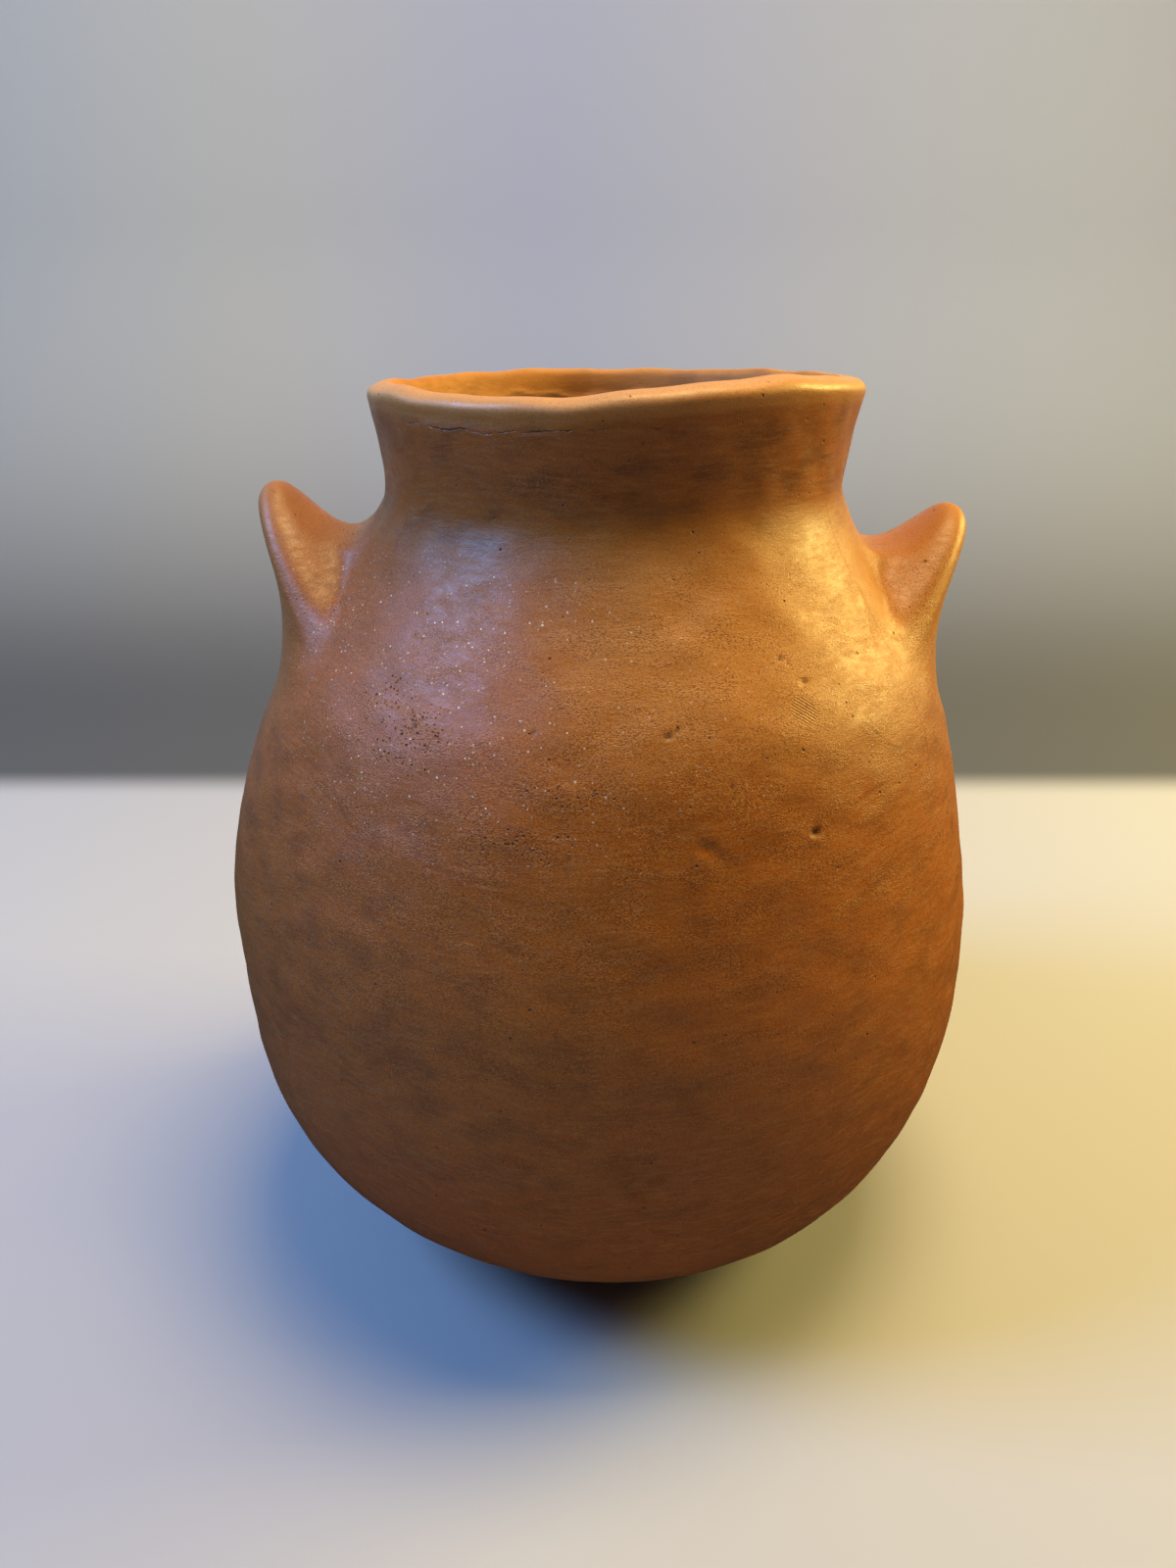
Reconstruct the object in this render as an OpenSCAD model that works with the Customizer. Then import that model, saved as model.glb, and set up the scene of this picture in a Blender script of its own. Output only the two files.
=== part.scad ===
// Round-bottomed terracotta cooking pot (olla) with a flaring lip and two pinched ears.
// It goes together as a potter builds it: a base bowl pressed over a mould, three wall
// courses, a neck collar and a rim coil, each luted to the one below over a slanted seam,
// and an ear pinched on to the shoulder at either side.
// One profile gives every surface, so the pieces share their seams face to face.
// X runs from ear to ear, Z is up, and the pot stands on its foot at Z = 0.

/* [Body] */
// Diameter of the belly at its widest
belly_d = 150; // [136:1:164]
// Height of the widest ring above the foot
belly_z = 74; // [66:1:82]
// How far the round underside reaches outwards before it turns up
base_reach = 62; // [54:1:66]
// How far the lower wall keeps upright below the widest ring
belly_reach_low = 44; // [34:1:50]
// How far the upper wall keeps upright above the widest ring
belly_reach_high = 12; // [6:1:18]
// How much of the round underside is pressed flat to make the foot
foot_press = 2.4; // [1.5:0.1:3.5]

/* [Shoulder and neck] */
// Height from the widest ring to where the shoulder turns into the neck
shoulder_rise = 52; // [46:1:60]
// Diameter where the shoulder turns into the neck
shoulder_d = 120; // [112:1:128]
// Lean of the wall there, away from upright
shoulder_lean = 36; // [28:1:44]
// How far the shoulder's curve runs below that ring
shoulder_reach_low = 14; // [8:1:18]
// How far the neck's hollow curve runs above that ring
shoulder_reach_high = 19; // [12:1:24]
// Height from that ring to the narrowest part of the neck
neck_rise = 29; // [26:1:36]
// Diameter of the neck at its narrowest
neck_d = 84.4; // [76:0.2:92]
// How far the neck keeps upright about its narrowest part
neck_reach = 5; // [3:0.5:8]
// Height from the narrowest part of the neck to the top of the lip
lip_rise = 18; // [15:1:24]
// Diameter of the lip where its edge starts to turn over
lip_d = 89; // [85:0.5:96]
// Flare of the lip, away from upright
lip_flare = 14; // [4:1:22]

/* [Walls] */
// Thickness of the body wall
wall_t = 6; // [5:0.1:7.5]
// Thickness of the floor over the foot
floor_t = 7; // [5.5:0.1:9]
// Thickness of the neck wall
neck_t = 5.4; // [4.5:0.1:6.5]
// Thickness of the lip
lip_t = 5.8; // [4.8:0.1:7]
// Height of the lip's rounded edge
lip_round = 2.6; // [1.6:0.1:3.4]

/* [Seams] */
// Height of the base bowl's edge
base_bowl_h = 30; // [24:1:36]
// Height that the lower wall course adds
lower_course_h = 33; // [27:1:39]
// Height that the belly course adds
belly_course_h = 41; // [36:1:44]
// Height of the rim coil, from the crease under it to the top of the lip
rim_coil_h = 5; // [4:0.1:7]
// How much lower a seam lies inside the pot than outside
seam_slant = 6; // [3:0.5:8]
// How much lower the rim coil's seam lies inside
rim_seam_slant = 2; // [1:0.5:4]
// Depth of the crease under the rim coil
crease_depth = 0.7; // [0.3:0.1:1.2]
// Half width of that crease
crease_w = 1.1; // [0.8:0.1:1.6]

/* [Ears] */
// Height of the strip of wall that an ear is luted to
ear_root_h = 41; // [36:1:46]
// Height from the belly course's upper seam to the foot of the ears
ear_gap = 9; // [5:1:12]
// Half the angle that an ear spans round the pot
ear_spread = 33; // [26:1:40]
// How far the middle of an ear's tip stands out from the wall below it
ear_out = 8.6; // [5.6:0.2:11]
// How far the middle of an ear's tip stands up from the wall below it
ear_up = 18.6; // [14:0.2:21]
// Thickness of an ear at its tip
ear_t = 6.6; // [5:0.2:8]
// How far the saddle between ear and neck stands out from the neck wall
saddle_out = 3.6; // [2:0.2:6]
// How far the saddle stands up from the neck wall
saddle_up = 0.8; // [0:0.2:3]
// Slope of an ear's inner face, above level
ear_rise = 32; // [20:1:38]
// Lean of an ear's outer face, inwards from upright
ear_undercut = 20; // [8:1:24]
// Depth of the thumb hollows on either side of an ear's saddle
ear_hollow = 1.8; // [0:0.2:2.4]
// Thickness to which an ear's edges are wiped out on the wall
ear_edge = 0.2; // [0.1:0.05:0.4]
// How much lower the right ear sits than the left
right_ear_drop = 4.5; // [0:0.5:6]

/* [Handwork] */
// How far the belly leans over to the left ear's side
belly_drift = 2.8; // [0:0.2:4]
// How far the hand-pressed wall strays from true round
wobble = 0.6; // [0:0.1:1.2]
// How far the lip rises and dips round the mouth, as a share of the pot's own
lip_wave = 1; // [0:0.1:1.5]

/* [Hidden] */

// Burnished terracotta, each course a shade apart as on the pot
clay_low = "#8a4a22";
clay_mid = "#96532a";
clay_high = "#a05c30";
clay_neck = "#8f4f28";
clay_rim = "#c07a3c";
clay_ear = "#bf7a3a";

// Columns of faces across an ear, and across the wall from one ear to the other
ear_cols = 20;
side_cols = 14;
// Rows of faces from an ear's foot to its top, and those of them below the neck seam
ear_rows = 16;
ear_rows_low = 10;

// Heights of the profile's stations
shoulder_z = belly_z + shoulder_rise;
neck_z = shoulder_z + neck_rise;
height = neck_z + lip_rise;

// The outer profile: cubic curves from the underside's middle to the lip, as [radius, height]
belly_pt = [belly_d / 2, belly_z];
shoulder_pt = [shoulder_d / 2, shoulder_z];
neck_pt = [neck_d / 2, neck_z];
lip_pt = [lip_d / 2, height - lip_round];
shoulder_dir = [-sin(shoulder_lean), cos(shoulder_lean)];
lip_dir = [sin(lip_flare), cos(lip_flare)];
up = [0, 1];
out = [1, 0];
profile_curves = [
    [[0, -foot_press], [base_reach, -foot_press], belly_pt - belly_reach_low * up, belly_pt],
    [belly_pt, belly_pt + belly_reach_high * up,
        shoulder_pt - shoulder_reach_low * shoulder_dir, shoulder_pt],
    [shoulder_pt, shoulder_pt + shoulder_reach_high * shoulder_dir, neck_pt - neck_reach * up, neck_pt],
    [neck_pt, neck_pt + neck_reach * up, lip_pt - neck_reach * lip_dir, lip_pt]
];
last_curve = len(profile_curves) - 1;

// A cubic curve's point and direction at u, from 0 to 1
function curve_point(c, u) = pow(1 - u, 3) * c[0] + 3 * u * pow(1 - u, 2) * c[1]
    + 3 * u * u * (1 - u) * c[2] + pow(u, 3) * c[3];
function curve_dir(c, u) = let (d = pow(1 - u, 2) * (c[1] - c[0]) + 2 * u * (1 - u) * (c[2] - c[1])
    + u * u * (c[3] - c[2])) d / norm(d);

// The profile at p, whose whole part picks the curve and whose rest is the place along it
function curve_no(p) = min(floor(p), last_curve);
function profile(p) = curve_point(profile_curves[curve_no(p)], p - curve_no(p));
function heading(p) = curve_dir(profile_curves[curve_no(p)], p - curve_no(p));
function across(p) = let (d = heading(p)) [d[1], -d[0]];

// The place on the profile at a given height, found by halving
function place_at(z, low = 0, high = last_curve + 1, steps = 24) = steps == 0 ? (low + high) / 2
    : let (mid = (low + high) / 2) profile(mid)[1] < z ? place_at(z, mid, high, steps - 1)
    : place_at(z, low, mid, steps - 1);

// An even rise from 0 to 1, and a hump that is 1 at x = 0 and dies away past x = 1
function ease(x) = let (t = max(0, min(1, x))) t * t * (3 - 2 * t);
function hump(x) = exp(-x * x);

// The sum of a list of numbers
function sum(list) = list * [for (x = list) 1];

// Wall thickness along the profile: the floor's thins out by floor_end, the neck's begins
// at neck_start and the lip's at lip_start
floor_end = 0.625;
neck_start = 1.6;
lip_start = 3;
function wall_at(p) = wall_t + (floor_t + foot_press - wall_t) * (1 - ease(p / floor_end))
    + (neck_t - wall_t) * ease(p - neck_start) + (lip_t - neck_t) * ease(p - lip_start);
function inner_profile(p) = profile(p) - wall_at(p) * across(p);

// Handwork: how the pot strays from a turned shape, in mm, at a height and an angle.
// A drift has its height, share and reach; a lip wave its turns, share and place round the
// pot; a wall wave its turns, share, place and twist from foot to lip. The foot is true, and
// the lip's waves begin a little above the shoulder.
drifts = [[1.18 * belly_z, 1, 0.46 * belly_z], [0.43 * belly_z, 0.4, 0.24 * belly_z]];
foot_true = 0.24 * belly_z;
wave_foot_z = shoulder_z + 0.24 * lip_rise;
lip_waves = [[1, 0.8, -24], [2, 0.5, -43], [3, 0.4, -52], [4, 0.35, 29]];
wall_waves = [[2, 0.5, 70, 52], [3, 0.35, 20, -156], [4, 0.25, 50, 190], [5, 0.2, 10, 294]];
function drift(z) = -belly_drift * sum([for (d = drifts) d[1] * hump((z - d[0]) / d[2])]);
function wave(a) = lip_wave * sum([for (w = lip_waves) w[1] * cos(w[0] * (a - w[2]))]);
function stray(z, a) = wobble * ease((z - foot_true) / belly_z)
    * sum([for (w = wall_waves) w[1] * cos(w[0] * (a - w[2]) + w[3] * z / height)]);
function put(q, a) = let (r = q[0] + stray(q[1], a))
    [r * cos(a) + drift(q[1]), r * sin(a),
    q[1] + wave(a) * ease((q[1] - wave_foot_z) / (height - wave_foot_z))];

// Crease under the rim coil, deepest at the front left and shallower elsewhere
rim_seam_z = height - rim_coil_h;
crease_front = 245;
crease_angle = 55;
crease_least = 0.35;
function crease(z, a) = crease_depth * hump((z - rim_seam_z) / crease_w) * (crease_least
    + (1 - crease_least) * hump(min(abs(a - crease_front), abs(a + 360 - crease_front)) / crease_angle));

// Angles of the columns: close together behind the ears, wider apart between them
side_angle = 180 - 2 * ear_spread;
half_cols = ear_cols + side_cols;
columns = [for (half = [0, 1]) each [for (j = [0 : half_cols - 1]) 180 * half - ear_spread
    + (j < ear_cols ? j * 2 * ear_spread / ear_cols : 2 * ear_spread + (j - ear_cols) * side_angle / side_cols)]];
n_cols = len(columns);

// The foot's edge lies between two close rings, so that it is cut round, and the floor
// inside has its first ring close to the middle
foot_ring_gap = 0.4 * foot_press;
foot_inside = place_at(-foot_ring_gap);
foot_edge = place_at(foot_ring_gap);
floor_ring = 0.08;

// Seams and the ears' foot and top, as places on the profile
base_seam = place_at(base_bowl_h);
lower_seam = place_at(base_bowl_h + lower_course_h);
belly_seam_z = base_bowl_h + lower_course_h + belly_course_h;
belly_seam = place_at(belly_seam_z);
ear_places = [for (k = [0 : ear_rows]) place_at(belly_seam_z + ear_gap + ear_root_h * k / ear_rows)];
ear_low = ear_places[0];
ear_top = ear_places[ear_rows];
neck_seam = ear_places[ear_rows_low];
rim_seam = place_at(rim_seam_z);
crease_edge_w = 1.6 * crease_w;
crease_lip_w = 1.2 * crease_w;
crease_edge = place_at(rim_seam_z - crease_edge_w);
crease_lip = place_at(rim_seam_z + crease_lip_w);
lip_place = last_curve + 1;

// Where each seam comes out inside the pot
function inside_of(p, slant) = place_at(profile(p)[1] - slant);
base_seam_in = inside_of(base_seam, seam_slant);
lower_seam_in = inside_of(lower_seam, seam_slant);
belly_seam_in = inside_of(belly_seam, seam_slant);
neck_seam_in = inside_of(neck_seam, seam_slant);
rim_seam_in = inside_of(rim_seam, rim_seam_slant);

// Rings of points, one for each column
function steps(a, b, n) = [for (i = [0 : n]) a + (b - a) * i / n];
function rest(list) = [for (i = [1 : len(list) - 1]) list[i]];
function outer_ring(p) = [for (a = columns) put(profile(p) - [crease(profile(p)[1], a), 0], a)];
function inner_ring(p) = [for (a = columns) put(inner_profile(p), a)];
function lip_ring(turn) = let (o = profile(lip_place), i = inner_profile(lip_place),
    q = (o + i) / 2 + (o - i) / 2 * cos(turn) + lip_round * heading(lip_place) * sin(turn))
    [for (a = columns) put(q, a)];
function outer_rings(places) = [for (p = places) outer_ring(p)];
function inner_rings(places) = [for (p = places) inner_ring(p)];

// The two triangles between neighbouring columns of rings a and b, which start at those numbers;
// a flipped pair is split along its other diagonal, so that both sides of a seam match
function pair(a, b, j, k, flip = false) = flip
    ? [[a + j, b + j, a + k], [a + k, b + j, b + k]]
    : [[a + j, b + j, b + k], [a + j, b + k, a + k]];

// A closed band of clay: rings up the outside, across the upper seam, down the inside,
// and back across the lower seam
module band(rings) {
    last = len(rings) - 1;
    faces = [for (i = [0 : last], j = [0 : n_cols - 1])
        each pair(i * n_cols, (i == last ? 0 : i + 1) * n_cols, j, (j + 1) % n_cols, i == last)];
    polyhedron([for (r = rings) each r], faces);
}

// A closed bowl: rings from the underside's middle up to the seam and down inside to the floor's middle
module bowl(rings, under, floor_middle) {
    last = len(rings) - 1;
    under_no = (last + 1) * n_cols;
    faces = [for (i = [0 : last - 1], j = [0 : n_cols - 1])
        each pair(i * n_cols, (i + 1) * n_cols, j, (j + 1) % n_cols)];
    caps = [for (j = [0 : n_cols - 1]) let (k = (j + 1) % n_cols)
        each [[under_no, j, k], [under_no + 1, last * n_cols + k, last * n_cols + j]]];
    polyhedron([each [for (r = rings) each r], under, floor_middle], concat(faces, caps));
}

// An ear's section through its middle, row by row from its foot over the tip to its top.
// Its knots fall on whole rows: outer face, round tip, inner face down to the saddle, neck.
// The reaches say how far each curve keeps the direction of its ends, and
// saddle_drop_share how much of an ear's drop its saddle takes up.
foot_reach = 8;
undercut_reach = 21;
tip_reach = 4;
saddle_reach = 5;
fillet_reach = 2.5;
saddle_drop_share = 0.75;
outer_rows = 6;
tip_rows = 4;
inner_rows = 3;
tip_row = outer_rows + tip_rows / 2;
saddle_row = outer_rows + tip_rows + inner_rows;
function ear_section(k, drop) = let (
    root = profile(ear_low), top = profile(ear_top),
    tip = profile(ear_places[tip_row]) + [ear_out, ear_up - drop],
    saddle = profile(ear_places[saddle_row]) + [saddle_out, saddle_up - saddle_drop_share * drop],
    r = ear_t / 2,
    low_side = tip + r * [cos(-ear_undercut), sin(-ear_undercut)],
    down = [sin(ear_undercut), cos(ear_undercut)],
    turn = 90 + ear_rise + ear_undercut,
    high_side = tip + r * [cos(90 + ear_rise), sin(90 + ear_rise)],
    inwards = [-cos(ear_rise), -sin(ear_rise)],
    outer = [root, root + foot_reach * heading(ear_low), low_side - undercut_reach * down, low_side],
    inner = [high_side, high_side + tip_reach * inwards, saddle + saddle_reach * out, saddle],
    neck = [saddle, saddle - fillet_reach * out, profile(ear_places[ear_rows - 1]), top])
    k <= outer_rows ? curve_point(outer, k / outer_rows)
    : k <= outer_rows + tip_rows ? let (t = (k - outer_rows) / tip_rows * turn - ear_undercut)
        tip + r * [cos(t), sin(t)]
    : k <= saddle_row ? curve_point(inner, (k - outer_rows - tip_rows) / inner_rows)
    : curve_point(neck, (k - saddle_row) / (ear_rows - saddle_row));

// How much of the ear's section is left at an angle from its middle, and the thumb hollows,
// which are deepest where two thirds of the section is left, a little outside the saddle
ear_taper_power = 3;
hollow_row = saddle_row - 1.5;
hollow_rows = 2;
function ear_share(da) = pow(max(0, 1 - pow(da / ear_spread, 2)), ear_taper_power);
function hollow(k, share) = ear_hollow * 27 / 4 * share * share * (1 - share)
    * hump((k - hollow_row) / hollow_rows);
function ear_point(k, da, drop) = let (wall = profile(ear_places[k]), share = ear_share(da))
    wall + share * (ear_section(k, drop) - wall) - [0, hollow(k, share)] + ear_edge * across(ear_places[k]);

// An ear: its root lies on the wall's own faces, its outline there is a rounded square, and
// its edges are wiped out to almost nothing
root_square_power = 3;
module ear(middle, drop) {
    first = middle == 0 ? 0 : half_cols;
    cols = ear_cols + 1;
    function from_middle(n, count) = pow(abs(2 * n / count - 1), root_square_power);
    function inside(k, j) = from_middle(k, ear_rows) + from_middle(j, ear_cols) < 1;
    function root_no(k, j) = k * cols + j;
    function skin_no(k, j) = inside(k, j) ? (ear_rows + 1) * cols + (k - 1) * (cols - 2) + j - 1 : root_no(k, j);
    root = [for (k = [0 : ear_rows]) let (ring = outer_ring(ear_places[k]))
        for (j = [0 : ear_cols]) ring[first + j]];
    skin = [for (k = [1 : ear_rows - 1], j = [1 : ear_cols - 1]) let (a = columns[first + j])
        put(ear_point(k, a - middle, drop), a)];
    faces = [for (k = [0 : ear_rows - 1], j = [0 : ear_cols - 1])
        let (c = [[k, j], [k + 1, j], [k + 1, j + 1], [k, j + 1]])
        each [for (t = [[0, 1, 2], [0, 2, 3]]) if (inside(c[t[0]][0], c[t[0]][1])
            || inside(c[t[1]][0], c[t[1]][1]) || inside(c[t[2]][0], c[t[2]][1]))
            each [[for (v = t) skin_no(c[v][0], c[v][1])],
                [for (v = [t[2], t[1], t[0]]) root_no(c[v][0], c[v][1])]]]];
    polyhedron(concat(root, skin), faces);
}

module base_bowl() {
    color(clay_low) difference() {
        bowl(concat(outer_rings(concat([foot_inside], steps(foot_edge, base_seam, 6))),
            inner_rings(steps(base_seam_in, floor_ring, 6))), [0, 0, -foot_press], put(inner_profile(0), 0));
        translate([0, 0, -belly_z]) cube([2 * belly_d, 2 * belly_d, 2 * belly_z], center = true);
    }
}

module lower_wall_course() {
    color(clay_low) band(concat(outer_rings(steps(base_seam, lower_seam, 5)),
        inner_rings(steps(lower_seam_in, base_seam_in, 4))));
}

module belly_course() {
    color(clay_mid) band(concat(outer_rings(concat(steps(lower_seam, 1, 2), rest(steps(1, belly_seam, 5)))),
        inner_rings(steps(belly_seam_in, lower_seam_in, 5))));
}

module shoulder_course() {
    color(clay_high) band(concat([outer_ring(belly_seam)],
        outer_rings([for (k = [0 : ear_rows_low]) ear_places[k]]),
        inner_rings(steps(neck_seam_in, belly_seam_in, 5))));
}

module neck_collar() {
    color(clay_neck) band(concat(outer_rings([for (k = [ear_rows_low : ear_rows]) ear_places[k]]),
        outer_rings(rest(steps(ear_top, crease_edge, 2))), [outer_ring(rim_seam)],
        inner_rings(steps(rim_seam_in, neck_seam_in, 5))));
}

module rim_coil() {
    color(clay_rim) band(concat(outer_rings([rim_seam, crease_lip]),
        [for (turn = [0 : 30 : 180]) lip_ring(turn)], [inner_ring(rim_seam_in)]));
}

module ear_left() {
    color(clay_ear) ear(180, 0);
}

module ear_right() {
    color(clay_ear) ear(0, right_ear_drop);
}

base_bowl();
lower_wall_course();
belly_course();
shoulder_course();
neck_collar();
rim_coil();
ear_left();
ear_right();
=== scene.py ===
"""Looks for a hand-built terracotta olla: a round-bellied pot with a wavy lip and two pinched ears.

The potter's eight pieces of clay are closed surfaces worked out on grids. They follow the same
profile and handwork as the CAD part, with far more points, so that dents, pits, scratches, the
faint crease under the lip and the hollow ears are real shape. Colour, burnish, fine cracks,
pores, sand and mica come from node materials on Object coordinates, shared by all the pieces,
so that no joint shows. Some of that colour is painted light and shade: painted shade low on the
pot, on the neck and in the pits and cuts, painted light on the right shoulder, the ears and the
lip, a painted cool reflection on the left and painted glints among the mica. Lengths are in
metres and angles in radians, except where a name or a comment says degrees.
"""

from functools import reduce
from math import cos, pi, radians, sin
from types import SimpleNamespace

import bpy
import numpy as np
from bpy.props import FloatProperty, FloatVectorProperty, IntProperty, PointerProperty
from bpy.types import Operator, Panel, PropertyGroup
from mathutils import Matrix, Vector


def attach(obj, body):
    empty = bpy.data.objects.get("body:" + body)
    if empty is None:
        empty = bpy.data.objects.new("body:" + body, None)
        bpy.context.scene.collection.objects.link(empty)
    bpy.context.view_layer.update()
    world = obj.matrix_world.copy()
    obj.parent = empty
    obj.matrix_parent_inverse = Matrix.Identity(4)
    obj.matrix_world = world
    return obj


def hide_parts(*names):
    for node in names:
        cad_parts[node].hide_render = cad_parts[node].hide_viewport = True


bl_info = {
    "name": "Terracotta olla",
    "version": (1, 0, 0),
    "blender": (4, 5, 0),
    "location": "View3D > Sidebar > Olla",
    "description": "A hand-built terracotta pot with a wavy lip and two pinched ears",
    "category": "Add Mesh",
}

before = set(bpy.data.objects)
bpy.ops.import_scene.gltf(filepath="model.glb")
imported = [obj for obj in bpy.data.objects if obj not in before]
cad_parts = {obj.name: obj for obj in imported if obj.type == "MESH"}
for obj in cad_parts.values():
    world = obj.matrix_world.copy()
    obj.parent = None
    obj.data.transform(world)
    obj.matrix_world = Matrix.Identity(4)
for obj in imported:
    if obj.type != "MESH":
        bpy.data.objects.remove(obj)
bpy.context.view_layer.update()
MM = 0.001


def length(name, description, default):
    """A length property, in metres."""
    return FloatProperty(name=name, description=description, default=default, unit="LENGTH", precision=4)


def angle(name, description, degrees):
    """An angle property."""
    return FloatProperty(name=name, description=description, default=radians(degrees), subtype="ANGLE")


def share(name, description, default):
    """A share or strength property, without a unit."""
    return FloatProperty(name=name, description=description, default=default)


def power(name, description, default):
    """A light's power, in watts."""
    return FloatProperty(name=name, description=description, default=default, subtype="POWER")


def colour(name, description, default):
    """A colour property, in linear red, green and blue."""
    return FloatVectorProperty(name=name, description=description, default=default, size=3,
                               min=0.0, soft_max=1.0, subtype="COLOR")


class OllaBodySizes(PropertyGroup):
    """Sizes of the pot's body, as the CAD part has them."""

    belly_d: length("Belly diameter", "Diameter of the belly at its widest", 0.150)
    belly_z: length("Belly height", "Height of the widest ring above the foot", 0.074)
    base_reach: length("Base reach", "How far the round underside reaches outwards before it turns up", 0.062)
    belly_reach_low: length("Lower belly reach", "How far the lower wall keeps upright", 0.044)
    belly_reach_high: length("Upper belly reach", "How far the upper wall keeps upright", 0.012)
    foot_press: length("Foot press", "How much of the round underside is pressed flat", 0.0024)
    shoulder_rise: length("Shoulder rise", "Height from the widest ring to the shoulder's turn", 0.052)
    shoulder_d: length("Shoulder diameter", "Diameter where the shoulder turns into the neck", 0.120)
    shoulder_lean: angle("Shoulder lean", "Lean of the wall there, away from upright", 36)
    shoulder_reach_low: length("Lower shoulder reach", "How far the shoulder's curve runs below it", 0.014)
    shoulder_reach_high: length("Upper shoulder reach", "How far the neck's curve runs above it", 0.019)
    neck_rise: length("Neck rise", "Height from that ring to the narrowest part of the neck", 0.029)
    neck_d: length("Neck diameter", "Diameter of the neck at its narrowest", 0.0844)
    neck_reach: length("Neck reach", "How far the neck keeps upright about its narrowest part", 0.005)
    lip_rise: length("Lip rise", "Height from the narrowest part of the neck to the lip's top", 0.018)
    lip_d: length("Lip diameter", "Diameter of the lip where its edge starts to turn over", 0.089)
    lip_flare: angle("Lip flare", "Flare of the lip, away from upright", 14)
    wall_t: length("Wall thickness", "Thickness of the body wall", 0.006)
    floor_t: length("Floor thickness", "Thickness of the floor over the foot", 0.007)
    neck_t: length("Neck thickness", "Thickness of the neck wall", 0.0054)
    lip_t: length("Lip thickness", "Thickness of the lip", 0.0058)
    lip_round: length("Lip round", "Height of the lip's rounded edge", 0.0026)
    base_bowl_h: length("Base bowl height", "Height of the base bowl's edge", 0.030)
    lower_course_h: length("Lower course height", "Height that the lower wall course adds", 0.033)
    belly_course_h: length("Belly course height", "Height that the belly course adds", 0.041)
    rim_coil_h: length("Rim coil height", "Height of the rim coil above the crease", 0.005)
    seam_slant: length("Seam slant", "How much lower a seam lies inside the pot than outside", 0.006)
    rim_seam_slant: length("Rim seam slant", "How much lower the rim coil's seam lies inside", 0.002)


class OllaEarSizes(PropertyGroup):
    """Sizes of the two ears, as the CAD part has them."""

    root_h: length("Root height", "Height of the strip of wall that an ear is luted to", 0.041)
    gap: length("Ear gap", "Height from the belly course's upper seam to the foot of the ears", 0.009)
    spread: angle("Ear spread", "Half the angle that an ear spans round the pot", 33)
    out: length("Ear reach", "How far the middle of the tip stands out from the wall below it", 0.0086)
    up: length("Ear height", "How far the middle of the tip stands up from the wall below it", 0.0186)
    thickness: length("Ear thickness", "Thickness of an ear at its tip", 0.0066)
    saddle_out: length("Saddle reach", "How far the saddle stands out from the neck wall", 0.0036)
    saddle_up: length("Saddle height", "How far the saddle stands up from the neck wall", 0.0008)
    rise: angle("Ear rise", "Slope of an ear's inner face, above level", 32)
    undercut: angle("Ear undercut", "Lean of an ear's outer face, inwards from upright", 20)
    hollow: length("Thumb hollow", "Depth of the thumb hollows on either side of a saddle", 0.0012)
    cup: share("Ear cup", "How much narrower an ear is behind its crest than in front of it", 0.40)
    right_drop: length("Right ear drop", "How much lower the right ear sits than the left", 0.0045)


class OllaHandwork(PropertyGroup):
    """How far the potter's hands leave the true shape."""

    belly_drift: length("Belly drift", "How far the belly leans over to the left ear's side", 0.0028)
    wobble: length("Wobble", "How far the hand-pressed wall strays from true round", 0.0006)
    lip_wave: length("Lip wave", "How far the lip rises and dips round the mouth", 0.001)
    uneven: length("Unevenness", "Height of the soft hollows that the fingers left all over", 0.00010)
    full_side: length("Full side", "How much fuller than the CAD part the lower wall is at the left", 0.0018)
    crease_depth: length("Crease depth", "Depth of the crease under the rim coil", 0.00012)
    crease_w: length("Crease width", "Half width of that crease", 0.0009)
    ear_recess: length("Ear recess", "How deep the wall is scored under an ear", 0.0008)
    columns: IntProperty(name="Columns", description="Columns of points round the pot", default=760)
    row_gap: length("Row gap", "Spacing of the rows of points up the outside", 0.00048)
    marks: share("Marks", "Strength of the pits, dents and scratches", 1.0)


class OllaClay(PropertyGroup):
    """Colours and finish of the clay."""

    clay: colour("Clay", "The fired clay where it is even", (0.34, 0.094, 0.005))
    # Also painted shade: the neck is made darker, under the flaring lip.
    dark: colour("Dark clay", "Mottling on the neck and the left side", (0.185, 0.050, 0.004))
    # Also used for painted light: the right shoulder under the lamp, the ears and the lip's top.
    light: colour("Light clay", "Rubbed places on the shoulder, ears and lip", (0.50, 0.212, 0.042))
    # Painted shade: red and base make the pot darker towards the foot, where it gets little light.
    red: colour("Red clay", "Redder shading low on the belly", (0.27, 0.066, 0.006))
    base: colour("Base clay", "Darker, shadowed clay near the foot", (0.180, 0.040, 0.003))
    smoke: colour("Smoke", "Grey smoke mark near the foot", (0.09, 0.035, 0.010))
    pore: colour("Pore", "Shaded bottom of the pores", (0.030, 0.008, 0.002))
    # Painted reflection: a mauve veil of cool light, painted on the left side.
    painted_cool_veil: colour("Film", "Mauve film on the left", (0.27, 0.088, 0.055))
    # Painted light: the lip's crest is painted in this pale colour where light from above falls on it.
    lip: colour("Lip", "The lip's rubbed edge", (0.68, 0.34, 0.12))
    # Pale mica specks, and painted glints: these specks are bright and crowded where the window's highlight
    # falls.
    mica: colour("Mica", "Flecks of mica and pale sand", (0.90, 0.80, 0.62))
    inside: colour("Inside", "Unburnished clay inside the pot", (0.47, 0.190, 0.035))
    roughness: share("Roughness", "Roughness of the burnished clay", 0.42)
    pore_depth: length("Pore depth", "Depth of the pores", 0.00022)
    grain: length("Grain", "Height of the clay's sandy grain", 0.00010)


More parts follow.
